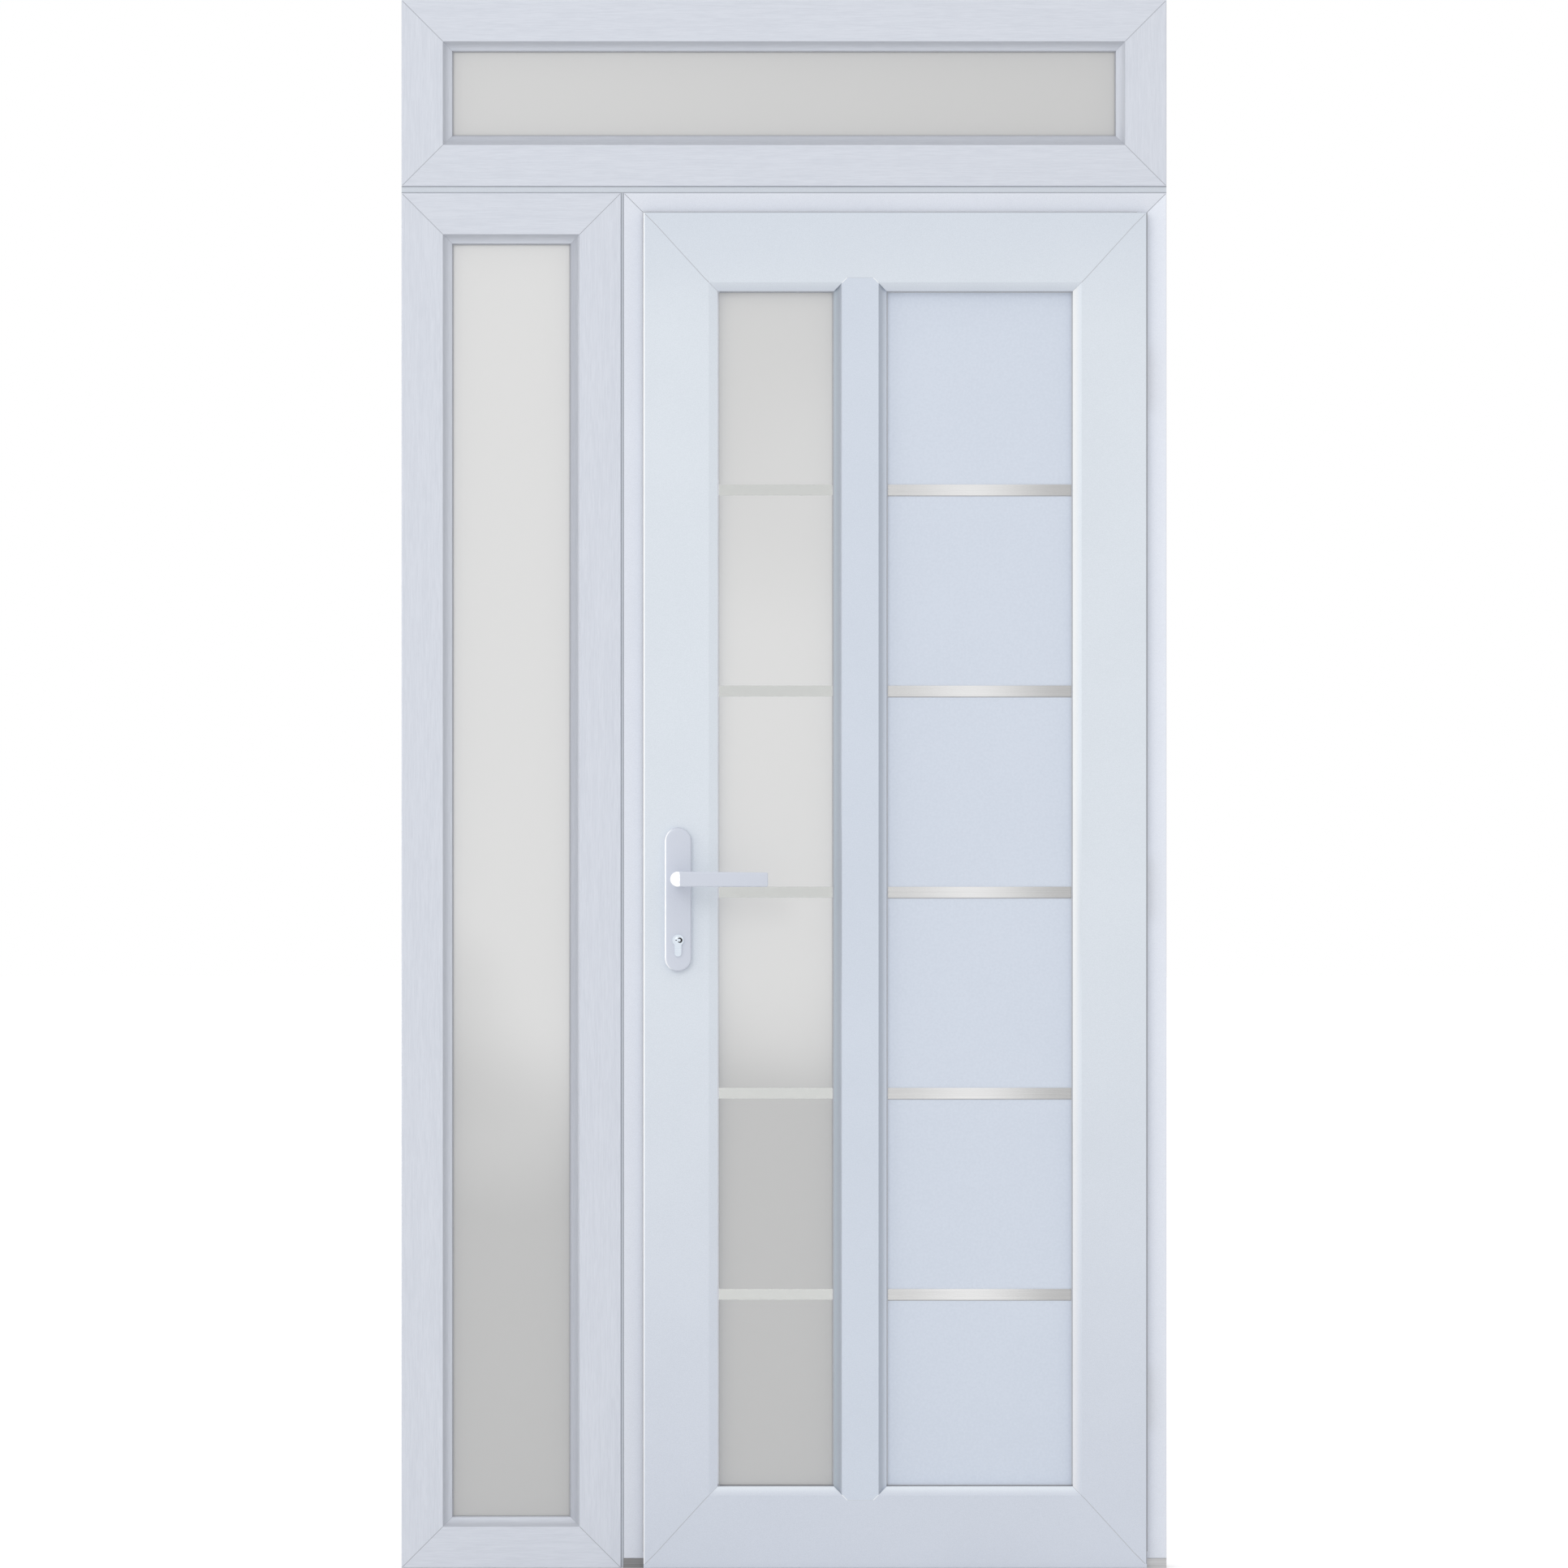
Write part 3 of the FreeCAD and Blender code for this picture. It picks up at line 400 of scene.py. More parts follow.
def satin_speckle_group():
    """Moulded satin skin: small grains all over, and faint clouds a hand wide."""
    group, given, result = new_group("satin_speckle", [("Vector", "Vector"), ("Grain Scale", "Float")],
                                     [("Tone", "Float"), ("Height", "Float")])
    grain = noise(group, given.outputs["Vector"], given.outputs["Grain Scale"], 2.0)
    clouds = noise(group, given.outputs["Vector"], 7.0, 2.0)
    tone = weighted(group, grain, clouds, 0.75)
    link(group, ramp_between(group, tone, *NOISE_SPAN, 0.0, 1.0), result.inputs["Tone"])
    link(group, grain, result.inputs["Height"])
    return group


def cove_shade_group():
    """Painted shade of a front surface: 1 on a flat face, and least on the steep start of a cove."""
    group, given, result = new_group("cove_shade", [("Strength", "Float")], [("Shade", "Float")])
    place = add_node(group, "ShaderNodeTexCoord")
    facing = math_node(group, "MULTIPLY", coordinate(group, place.outputs["Normal"], "Y"), -1.0)
    front = ramp_between(group, facing, *FRONT_FACING, 0.0, 1.0)
    turned_away = ramp_between(group, math_node(group, "SUBTRACT", 1.0, facing), *TURNED_AWAY, 0.0, 1.0)
    steepness = math_node(group, "MULTIPLY", turned_away, front)
    depth = math_node(group, "MULTIPLY", steepness, given.outputs["Strength"])
    link(group, math_node(group, "SUBTRACT", 1.0, depth, clamp=True), result.inputs["Shade"])
    return group


def painted_highlight_group():
    """Painted highlight: how far a front edge turns to the left, nothing on a flat face, full where it faces
    half left.
    """
    group, given, result = new_group("painted_highlight", [("Strength", "Float")], [("Light", "Float")])
    normal = add_node(group, "ShaderNodeTexCoord").outputs["Normal"]
    facing = math_node(group, "MULTIPLY", coordinate(group, normal, "Y"), -1.0)
    leftward = math_node(group, "MULTIPLY", coordinate(group, normal, "X"), -1.0)
    edge = math_node(group, "MULTIPLY", ramp_between(group, leftward, *HALF_LEFT, 0.0, 1.0),
                     ramp_between(group, facing, *FRONT_FACING, 0.0, 1.0))
    link(group, math_node(group, "MULTIPLY", edge, given.outputs["Strength"]), result.inputs["Light"])
    return group


def brushed_metal_group():
    """Long scratches along X on a stretched vector."""
    group, given, result = new_group("brushed_metal", [("Vector", "Vector")],
                                     [("Tone", "Float"), ("Height", "Float")])
    stretch = add_node(group, "ShaderNodeMapping")
    stretch.inputs["Scale"].default_value = (6.0, 900.0, 900.0)
    link(group, given.outputs["Vector"], stretch.inputs["Vector"])
    scratches = noise(group, stretch.outputs["Vector"], 1.0, 3.0, 0.7)
    link(group, ramp_between(group, scratches, *NOISE_SPAN, 0.0, 1.0), result.inputs["Tone"])
    link(group, scratches, result.inputs["Height"])
    return group


GRAIN = lengthwise_grain_group()
SPECKLE = satin_speckle_group()
COVE_SHADE = cove_shade_group()
PAINTED_HIGHLIGHT = painted_highlight_group()
BRUSHED = brushed_metal_group()

# Dark and light grains of the foil and the panel, the white of painted highlights on edges, and the tints of
# the panes
FOIL_COLOURS = ((0.62, 0.65, 0.72), (0.68, 0.71, 0.78))
PANEL_COLOURS = ((0.625, 0.68, 0.775), (0.655, 0.71, 0.805))
HIGHLIGHT_WHITE = (0.94, 0.95, 0.96)
OUTER_GLASS = (0.62, 0.625, 0.618)
INNER_GLASS = (0.97, 0.98, 0.97)

# Heights over which the etching's painted shade changes its grey, and how far its clouds shift them
ETCH_FOOT = (0.6, 0.95)
ETCH_HEAD = (1.4, 1.9)
ETCH_CLOUD_SHIFT = 0.12

# How far a brushed metal's roughness strays from its mean
SCRATCH_GLOSS = 0.08


def new_material(name, roughness, metallic=0.0):
    """A material with its Principled shader, the object's own coordinates and a plain roughness."""
    material = bpy.data.materials.new(name)
    material.use_nodes = True
    tree = material.node_tree
    shader = next(node for node in tree.nodes if node.type == "BSDF_PRINCIPLED")
    shader.inputs["Roughness"].default_value = roughness
    shader.inputs["Metallic"].default_value = metallic
    place = add_node(tree, "ShaderNodeTexCoord")
    return material, tree, shader, place.outputs["Object"]


def use_group(tree, group, **inputs):
    """A node group placed in a material, with each input a socket or a number."""
    node = add_node(tree, "ShaderNodeGroup", node_tree=group)
    for name, value in inputs.items():
        feed(tree, node.inputs[name.replace("_", " ")], value)
    return node


def bump(tree, shader, height, strength, distance):
    """Bump from a height that changes over the surface."""
    node = add_node(tree, "ShaderNodeBump")
    node.inputs["Strength"].default_value = strength
    node.inputs["Distance"].default_value = distance
    link(tree, height, node.inputs["Height"])
    link(tree, node.outputs["Normal"], shader.inputs["Normal"])


def rough_by(tree, shader, tone, dark, light):
    """Roughness that goes with a tone from its dark value to its light one."""
    link(tree, ramp_between(tree, tone, 0.0, 1.0, dark, light), shader.inputs["Roughness"])


def shaded(tree, shader, colour, strength):
    """The colour with painted shade: greyer where a cove turns away from the front."""
    shade = use_group(tree, COVE_SHADE, Strength=strength)
    greyed = mixed_colour(tree, 1.0, colour, shade.outputs["Shade"], "MULTIPLY")
    link(tree, greyed, shader.inputs["Base Color"])


def with_painted_light(tree, place, colour, painted_light):
    """The colour times each ramp of painted light, given as (axis, place where it is full, place where it
    ends, factor).
    """
    for axis, full, end, light_factor in painted_light:
        nearness = ramp_between(tree, coordinate(tree, place, axis), full, end, 1.0, 0.0)
        colour = mixed_colour(tree, nearness, colour, light_factor, "MULTIPLY")
    return colour


def grained_pvc(name, stretch, painted_light=()):
    """White foil with a fine grain along the member; stretch is the grain's fineness along X, Y and Z."""
    material, tree, shader, place = new_material(name, 0.42)
    mapping = add_node(tree, "ShaderNodeMapping")
    mapping.inputs["Scale"].default_value = stretch
    link(tree, place, mapping.inputs["Vector"])
    grain = use_group(tree, GRAIN, Vector=mapping.outputs["Vector"])
    colour = mixed_colour(tree, grain.outputs["Tone"], *FOIL_COLOURS)
    shaded(tree, shader, with_painted_light(tree, place, colour, painted_light), 0.25)
    rough_by(tree, shader, grain.outputs["Tone"], 0.5, 0.38)
    bump(tree, shader, grain.outputs["Height"], 0.25, 0.2 * MM)
    return material


def satin_pvc(name, dark, light, grain_scale=900.0, gloss=(0.46, 0.36), edge_shade=0.24, painted_highlight=0.0,
              painted_light=()):
    """White satin profile with a fine speckle; gloss is the roughness of its dark and its light grains."""
    material, tree, shader, place = new_material(name, gloss[0])
    speckle = use_group(tree, SPECKLE, Vector=place, Grain_Scale=grain_scale)
    colour = mixed_colour(tree, speckle.outputs["Tone"], dark, light)
    colour = with_painted_light(tree, place, colour, painted_light)
    # Painted highlight: front edges that turn to the left are mixed towards white.
    if painted_highlight:
        edge = use_group(tree, PAINTED_HIGHLIGHT, Strength=painted_highlight)
        colour = mixed_colour(tree, edge.outputs["Light"], colour, HIGHLIGHT_WHITE)
    shaded(tree, shader, colour, edge_shade)
    rough_by(tree, shader, speckle.outputs["Tone"], *gloss)
    bump(tree, shader, speckle.outputs["Height"], 0.12, 0.15 * MM)
    return material


def panel_skin():
    """Smooth matte skin of the panel, with clouds too faint to see a pattern in."""
    material, tree, shader, place = new_material("panel_skin", 0.5)
    speckle = use_group(tree, SPECKLE, Vector=place, Grain_Scale=260.0)
    colour = mixed_colour(tree, speckle.outputs["Tone"], *PANEL_COLOURS)
    link(tree, colour, shader.inputs["Base Color"])
    rough_by(tree, shader, speckle.outputs["Tone"], 0.56, 0.48)
    bump(tree, shader, speckle.outputs["Height"], 0.05, 0.1 * MM)
    return material


def etched_face(name, low, high, top, painted_light=()):
    """Satin etching on a pane, with painted shade: greys near the floor, at mid height and at the top, with
    soft clouds.
    """
    material, tree, shader, place = new_material(name, 0.6)
    clouds = noise(tree, place, 2.3, 1.0)
    clouds = ramp_between(tree, clouds, *NOISE_SPAN, -ETCH_CLOUD_SHIFT, ETCH_CLOUD_SHIFT)
    height = math_node(tree, "ADD", coordinate(tree, place, "Z"), clouds)
    level = ramp_between(tree, height, *ETCH_FOOT, low, high)
    fade = ramp_between(tree, height, *ETCH_HEAD, 1.0, top / high)
    tone = math_node(tree, "MULTIPLY", level, fade)
    fine = noise(tree, place, 1400.0, 2.0)
    colour = mixed_colour(tree, 1.0, (1.0, 1.0, 0.995), tone, "MULTIPLY")
    link(tree, with_painted_light(tree, place, colour, painted_light), shader.inputs["Base Color"])
    link(tree, ramp_between(tree, fine, *NOISE_SPAN, 0.5, 0.7), shader.inputs["Roughness"])
    bump(tree, shader, fine, 0.1, 0.05 * MM)
    return material


def clear_glass():
    """Float glass: greyer in the leaf's outer pane, clear with a faint green elsewhere.

    Light from the lamps and light scattered by surfaces passes straight through it.
    """
    material, tree, shader, place = new_material("clear_glass", 0.02)
    front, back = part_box("leaf_glass")[0].y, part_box("leaf_glass")[1].y
    depth = coordinate(tree, place, "Y")
    inward = ramp_between(tree, depth, front + PANE_THICKNESS, back - PANE_THICKNESS, 0.0, 1.0)
    link(tree, mixed_colour(tree, inward, OUTER_GLASS, INNER_GLASS), shader.inputs["Base Color"])
    shader.inputs["Transmission Weight"].default_value = 1.0
    shader.inputs["IOR"].default_value = 1.5
    ripple = noise(tree, place, 5.0, 1.0)
    bump(tree, shader, ripple, 0.02, 1.0 * MM)
    clear = add_node(tree, "ShaderNodeBsdfTransparent")
    path = add_node(tree, "ShaderNodeLightPath")
    mix = add_node(tree, "ShaderNodeMixShader")
    output = next(node for node in tree.nodes if node.type == "OUTPUT_MATERIAL")
    passing = math_node(tree, "MAXIMUM", path.outputs["Is Shadow Ray"], path.outputs["Is Diffuse Ray"])
    link(tree, passing, mix.inputs["Fac"])
    link(tree, shader.outputs["BSDF"], mix.inputs[1])
    link(tree, clear.outputs["BSDF"], mix.inputs[2])
    link(tree, mix.outputs["Shader"], output.inputs["Surface"])
    return material


def soft_matte(name, dark, light, scale, roughness, painted_light=()):
    """Rubber, pile and weld lines: a dull colour with fine mottling and a slight bump."""
    material, tree, shader, place = new_material(name, roughness)
    speckle = use_group(tree, SPECKLE, Vector=place, Grain_Scale=scale)
    colour = mixed_colour(tree, speckle.outputs["Tone"], dark, light)
    link(tree, with_painted_light(tree, place, colour, painted_light), shader.inputs["Base Color"])
    bump(tree, shader, speckle.outputs["Height"], 0.2, 0.1 * MM)
    return material


def brushed_metal(name, dark, light, roughness, painted_sheen_and_shade=None):
    """Metal brushed along X; its last argument paints sheen and shade, as (left, bright, right, left tone,
    right tone), tone 1 where bright.
    """
    material, tree, shader, place = new_material(name, roughness, metallic=1.0)
    scratches = use_group(tree, BRUSHED, Vector=place)
    colour = mixed_colour(tree, scratches.outputs["Tone"], dark, light)
    if painted_sheen_and_shade:
        left, bright, right, left_tone, right_tone = painted_sheen_and_shade
        across = coordinate(tree, place, "X")
        rise = ramp_between(tree, across, left, bright, left_tone, 1.0)
        fall = ramp_between(tree, across, bright, right, 1.0, right_tone)
        colour = mixed_colour(tree, 1.0, colour, math_node(tree, "MULTIPLY", rise, fall), "MULTIPLY")
    link(tree, colour, shader.inputs["Base Color"])
    rough_by(tree, shader, scratches.outputs["Tone"], roughness + SCRATCH_GLOSS, roughness - SCRATCH_GLOSS)
    bump(tree, shader, scratches.outputs["Height"], 0.15, 0.05 * MM)
    return material


STREAK_LENGTH = 1 / 0.03
STREAK_ACROSS = 1 / 0.0018
LEAF_WHITE = {"dark": (0.68, 0.73, 0.79), "light": (0.73, 0.78, 0.84), "gloss": (0.38, 0.3)}
# Painted shade on the leaf: darker towards the floor and near its top.
LEAF_PAINTED_SHADE = [("Z", 0.0, 1.1, (0.895, 0.89, 0.925)), ("Z", LEAF[3], 1.85, (0.93, 0.935, 0.955))]
# Painted highlight on the hinge-side and bottom bevels, painted shade on the top bevel.
HINGE_BEVEL_HIGHLIGHT = ("X", PANEL_LIGHT[2], PANEL_LIGHT[2] + LEAF_BEVEL_WIDTH, (1.3, 1.24, 1.16))
BOTTOM_BEVEL_HIGHLIGHT = ("Z", PANEL_LIGHT[1], PANEL_LIGHT[1] - LEAF_BEVEL_WIDTH, (1.24, 1.24, 1.19))
TOP_BEVEL_SHADE = ("Z", PANEL_LIGHT[3], PANEL_LIGHT[3] + LEAF_BEVEL_WIDTH, (0.92, 0.92, 0.94))
# Painted shade on the door frame: darker towards the floor.
FOOT_SHADE = ("Z", 0.0, 1.1, (0.95, 0.95, 0.95))
# Painted shade in the coves of the sidelight's right jamb, the transom's sill and the mullion's left side.
SIDELIGHT_COVE_SHADE = ("X", SIDELIGHT_OPENING[2], SIDELIGHT_OPENING[2] + COVE_WIDTH, (0.78, 0.78, 0.79))
TRANSOM_COVE_SHADE = ("Z", TRANSOM_OPENING[1], TRANSOM_OPENING[1] - COVE_WIDTH, (0.78, 0.78, 0.79))
MULLION_LEFT_COVE_SHADE = ("X", GLASS_LIGHT[2], GLASS_LIGHT[2] + MULLION_COVE, (0.77, 0.8, 0.79))
# Painted highlight on the left of the leaf's glass gasket, painted shade along its foot.
LEFT_GASKET_HIGHLIGHT = ("X", GLASS_LIGHT[0] + GASKET_SHOWING, GLASS_LIGHT[0] + 2 * GASKET_SHOWING, (1.6, 1.58, 1.55))
FOOT_GASKET_SHADE = ("Z", GLASS_LIGHT[1] + GASKET_SHOWING, GLASS_LIGHT[1] + 2 * GASKET_SHOWING, (0.6, 0.6, 0.6))
# Painted shade on the transom's etching: darker towards the right.
TRANSOM_SHADE = ("X", RIGHT, -RIGHT, (0.91, 0.91, 0.91))
UPRIGHT_GRAIN = (STREAK_ACROSS, STREAK_ACROSS, STREAK_LENGTH)
LEVEL_GRAIN = (STREAK_LENGTH, STREAK_ACROSS, STREAK_ACROSS)
# Painted sheen on the steel strips, brightest left of their middle; painted shade on the threshold, darker to
# the left.
STRIP_PAINTED_SHEEN = (STRIPS[0], STRIPS[0] + 0.45 * (STRIPS[2] - STRIPS[0]), STRIPS[2], 0.8, 0.63)
THRESHOLD_PAINTED_SHADE = (LEAF[0], LEAF[2], RIGHT, 0.45, 1.0)
# The handle's coat: grain, gloss and a painted highlight on its edges that turn to the left.
HANDLE_COAT_AND_HIGHLIGHT = {"grain_scale": 1500.0, "gloss": (0.22, 0.18), "painted_highlight": 1.0}

SATIN_FINISHES = {
    "leaf_pvc": {**LEAF_WHITE, "painted_light": LEAF_PAINTED_SHADE},
    # The lock stile gets a painted highlight on its rounded left edge.
    "lock_stile_pvc": {**LEAF_WHITE, "edge_shade": 0.0, "painted_highlight": 0.9, "painted_light": LEAF_PAINTED_SHADE},
    # The hinge stile's stronger edge shade paints a dark line of shade on its rounded right edge.
    "hinge_stile_pvc": {**LEAF_WHITE, "edge_shade": 0.6, "painted_light": LEAF_PAINTED_SHADE + [HINGE_BEVEL_HIGHLIGHT]},
    "top_rail_pvc": {**LEAF_WHITE, "painted_light": LEAF_PAINTED_SHADE + [TOP_BEVEL_SHADE]},
    "bottom_rail_pvc": {**LEAF_WHITE, "painted_light": LEAF_PAINTED_SHADE + [BOTTOM_BEVEL_HIGHLIGHT]},
    # The mullion gets stronger painted shade in its coves.
    "mullion_pvc": {"dark": (0.61, 0.665, 0.755), "light": (0.65, 0.705, 0.795), "edge_shade": 0.3,
                    "painted_light": [MULLION_LEFT_COVE_SHADE]},
    "door_frame_pvc": {"dark": (0.7, 0.73, 0.8), "light": (0.75, 0.78, 0.85), "painted_light": [FOOT_SHADE]},
    # The hinge jamb is painted lighter than the rest of the door frame, as painted light against the shade
    # the leaf casts on it.
    "hinge_jamb_lightened_pvc": {"dark": (0.79, 0.825, 0.905), "light": (0.84, 0.875, 0.95), "painted_light": [FOOT_SHADE]},
    "coupler_pvc": {"dark": (0.595, 0.635, 0.695), "light": (0.635, 0.675, 0.735)},
    "handle_white": {"dark": (0.605, 0.64, 0.725), "light": (0.635, 0.67, 0.755), "edge_shade": 0.12,
                     **HANDLE_COAT_AND_HIGHLIGHT},
    "lever_white": {"dark": (0.61, 0.645, 0.73), "light": (0.64, 0.675, 0.76), "edge_shade": 0.0,
                    **HANDLE_COAT_AND_HIGHLIGHT},
}

# Fineness of the grain along X, Y and Z, then ramps of painted shade
GRAINED_FINISHES = {
    "white_pvc_upright": (UPRIGHT_GRAIN,),
    "white_pvc_level": (LEVEL_GRAIN,),
    # The sidelight's right jamb and the transom's sill are copies with painted shade in their coves.
    "sidelight_right_pvc": (UPRIGHT_GRAIN, [SIDELIGHT_COVE_SHADE]),
    "transom_sill_pvc": (LEVEL_GRAIN, [TRANSOM_COVE_SHADE]),
}

# Painted shade: grey near the floor, at mid height and at the top, then ramps of painted shade
ETCHED_FINISHES = {
    "transom_etching": (0.645, 0.645, 0.645, [TRANSOM_SHADE]),
    "sidelight_etching": (0.535, 0.73, 0.73),
    "leaf_etching": (0.54, 0.725, 0.645),
}

# Dark and light grains, grain scale, roughness, then ramps of painted light
MATTE_FINISHES = {
    "gasket_rubber": ((0.46, 0.47, 0.5), (0.52, 0.53, 0.56), 1200.0, 0.7),
    "leaf_gasket_rubber": ((0.5, 0.51, 0.54), (0.56, 0.57, 0.6), 1200.0, 0.7, [LEFT_GASKET_HIGHLIGHT, FOOT_GASKET_SHADE]),
    "seal_rubber": ((0.2, 0.205, 0.22), (0.26, 0.265, 0.28), 1200.0, 0.65),
    "brush_pile": ((0.24, 0.27, 0.33), (0.34, 0.37, 0.43), 1600.0, 0.9),
    "weld_line": ((0.36, 0.38, 0.42), (0.42, 0.44, 0.48), 800.0, 0.6),
    "leaf_weld_line": ((0.43, 0.45, 0.49), (0.49, 0.51, 0.55), 800.0, 0.6),
    "faint_joint": ((0.58, 0.62, 0.68), (0.64, 0.68, 0.74), 800.0, 0.6),
    "cut_pvc": ((0.86, 0.88, 0.91), (0.9, 0.92, 0.94), 800.0, 0.5),
    "dark_recess": ((0.02, 0.02, 0.022), (0.03, 0.03, 0.032), 900.0, 0.8),
}

# Dark and light scratches, roughness, then painted sheen and shade
METAL_FINISHES = {
    "strip_steel": ((0.71, 0.71, 0.71), (0.78, 0.78, 0.78), 0.32, STRIP_PAINTED_SHEEN),
    "threshold_aluminium": ((0.465, 0.465, 0.472), (0.57, 0.57, 0.577), 0.42, THRESHOLD_PAINTED_SHADE),
    "lock_nickel": ((0.66, 0.72, 0.79), (0.71, 0.77, 0.84), 0.34),
    "spacer_bar": ((0.4, 0.4, 0.41), (0.5, 0.5, 0.51), 0.45),
    "hardware_steel": ((0.5, 0.5, 0.51), (0.6, 0.6, 0.61), 0.35),
}

LOOKS = {"panel_skin": panel_skin(), "clear_glass": clear_glass()}
LOOKS |= {name: satin_pvc(name, **values) for name, values in SATIN_FINISHES.items()}
for make, finishes in ((grained_pvc, GRAINED_FINISHES), (etched_face, ETCHED_FINISHES),
                       (soft_matte, MATTE_FINISHES), (brushed_metal, METAL_FINISHES)):
    LOOKS |= {name: make(name, *values) for name, values in finishes.items()}

NODE_LOOKS = {
    "white_pvc_upright": ["transom_left_jamb", "transom_right_jamb", "sidelight_left_jamb"],
    "white_pvc_level": ["transom_head", "sidelight_head", "sidelight_sill"],
    "sidelight_right_pvc": ["sidelight_right_jamb"],
    "transom_sill_pvc": ["transom_sill"],
    "door_frame_pvc": ["door_frame_head", "door_frame_lock_jamb", "transom_beads", "sidelight_beads"],
    "hinge_jamb_lightened_pvc": ["door_frame_hinge_jamb"],
    "leaf_pvc": ["leaf_beads"],
    "lock_stile_pvc": ["leaf_lock_stile"],
    "hinge_stile_pvc": ["leaf_hinge_stile"],
    "top_rail_pvc": ["leaf_top_rail"],
    "bottom_rail_pvc": ["leaf_bottom_rail"],
    "mullion_pvc": ["leaf_mullion"],
    "coupler_pvc": ["transom_coupler", "sidelight_coupler"],
    "panel_skin": ["leaf_panel"],
    "clear_glass": ["transom_glass", "sidelight_glass", "leaf_glass"],
    "gasket_rubber": ["transom_gasket", "sidelight_gasket"],
    "leaf_gasket_rubber": ["leaf_gaskets"],
    "seal_rubber": ["frame_seal", "leaf_seal"],
    "brush_pile": ["bottom_seal"],
    "strip_steel": ["panel_steel_strips"],
    "threshold_aluminium": ["threshold"],
    "handle_white": ["handle_plate_front", "handle_plate_back"],
    "lever_white": ["lever_front", "lever_back"],
    "lock_nickel": ["lock_cylinder"],
    "hardware_steel": ["lever_spindle", "strike_plate", "lock_faceplate", "lock_bolts", "hinge_frame_halves",
                       "hinge_leaf_halves", "hinge_pins"],
}


def dress_nodes():
    """Every solid of the frame gets its finish."""
    for look, nodes in NODE_LOOKS.items():
        for node in nodes:
            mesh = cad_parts[node].data
            mesh.materials.clear()
            mesh.materials.append(LOOKS[look])


# Etched glass

ETCH_THICKNESS = 0.15 * MM
ETCH_CORNER = 1.0 * MM
ETCH_MARGIN = 0.2 * MM
ETCH_SEAT = 0.05 * MM


def clear_bands():
    """Low and high edge of each clear band across the leaf's glass, level with the panel's strips."""
    lows = np.linspace(STRIPS[1], STRIPS[3] - STRIP_HEIGHT, STRIP_COUNT)
    return [(low, low + STRIP_HEIGHT) for low in lows]


def etched_faces():
    """Etched sheets on both faces of each outer pane; the clear bands part the leaf's sheets into six."""
    lights = (("transom", "frame", TRANSOM_OPENING), ("sidelight", "frame", SIDELIGHT_OPENING),
              ("leaf", "leaf", GLASS_LIGHT))
    for name, body, opening in lights:
        outer_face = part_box(f"{name}_glass")[0].y
        bands = clear_bands() if name == "leaf" else []
        inner_face = outer_face + PANE_THICKNESS
        sides = (("front", outer_face, -1, -GASKET_SHOWING - ETCH_MARGIN),
                 ("back", inner_face, 1, SPACER_SET_BACK))
        for side, face, outward, margin in sides:
            left, bottom, right, top = grown(opening, margin)
            edges = [bottom] + [edge for band in bands for edge in band] + [top]
            shown, seat = face + outward * ETCH_THICKNESS, face - outward * ETCH_SEAT
            sheets = [thin_sheet((left, lower, right, upper), shown, seat, ETCH_CORNER)
                      for lower, upper in zip(edges[::2], edges[1::2])]
            piece(f"{name}_etching_{side}", joined(sheets), f"{name}_etching", body)


# Weld lines at the mitres

WELD_HALF_WIDTH = 0.5 * MM
WELD_PROUD = 0.12 * MM
# Share of a bead's height that lies behind the surface
WELD_SUNK = 0.4
JOINT_HALF_WIDTH = 0.6 * MM


def weld_line(path, across, half_width=WELD_HALF_WIDTH):
    """A low half-round bead along a path: each ring is a half ellipse, flat against the surface behind it.

    The path is points (count, 3) with the outward direction at each (count, 3); across is one unit vector.
    """
    points, outward = path
    turn = arc(0, 360, 9)[:-1]
    lift = np.maximum(turn[:, 1], -WELD_SUNK) * WELD_PROUD
    rings = (points[:, None] + turn[None, :, :1] * half_width * across
             + lift[None, :, None] * outward[:, None])
    return loft(rings)


def mitre_path(corner, turns, steps, face, towards_back):
    """The line where two members meet: steps of (across, up, depth) inwards from a corner of the frame.

    The outward direction at each point is square to the line, in the plane through the line and the depth.
    """
    steps = np.asarray(steps, float)
    across, up, depth = steps.T
    x, z = corner
    turn_x, turn_z = turns
    points = np.stack([x + turn_x * across, face + towards_back * depth, z + turn_z * up], axis=1)
    run_x, run_z, rise = np.gradient(steps, axis=0).T
    run = np.hypot(run_x, run_z)
    tilt = rise / (run * np.hypot(run, rise))
    facing = -towards_back * run / np.hypot(run, rise)
    outward = np.stack([turn_x * run_x * tilt, facing, turn_z * run_z * tilt], axis=1)
    return points, outward


def even(profile):
    """A profile of (inward, depth) as steps along a mitre at 45 degrees."""
    inward, depth = np.asarray(profile, float).T
    return np.stack([inward, inward, depth], axis=1)


def corner_welds(rect, steps, face, towards_back, corners):
    """Weld lines at some corners of a frame, on its front or its back."""
    left, bottom, right, top = rect
    places = {"lower left": ((left, bottom), (1, 1)), "lower right": ((right, bottom), (-1, 1)),
              "upper right": ((right, top), (-1, -1)), "upper left": ((left, top), (1, -1))}
    lines = []
    for corner in corners:
        place, turns = places[corner]
        across = np.array([-turns[1], 0.0, turns[0]]) / math.sqrt(2)
        lines.append(weld_line(mitre_path(place, turns, steps, face, towards_back), across))
    return lines


def straight(start, end, count=4):
    """Evenly spaced points from start to end."""
    return np.linspace(start, end, count)


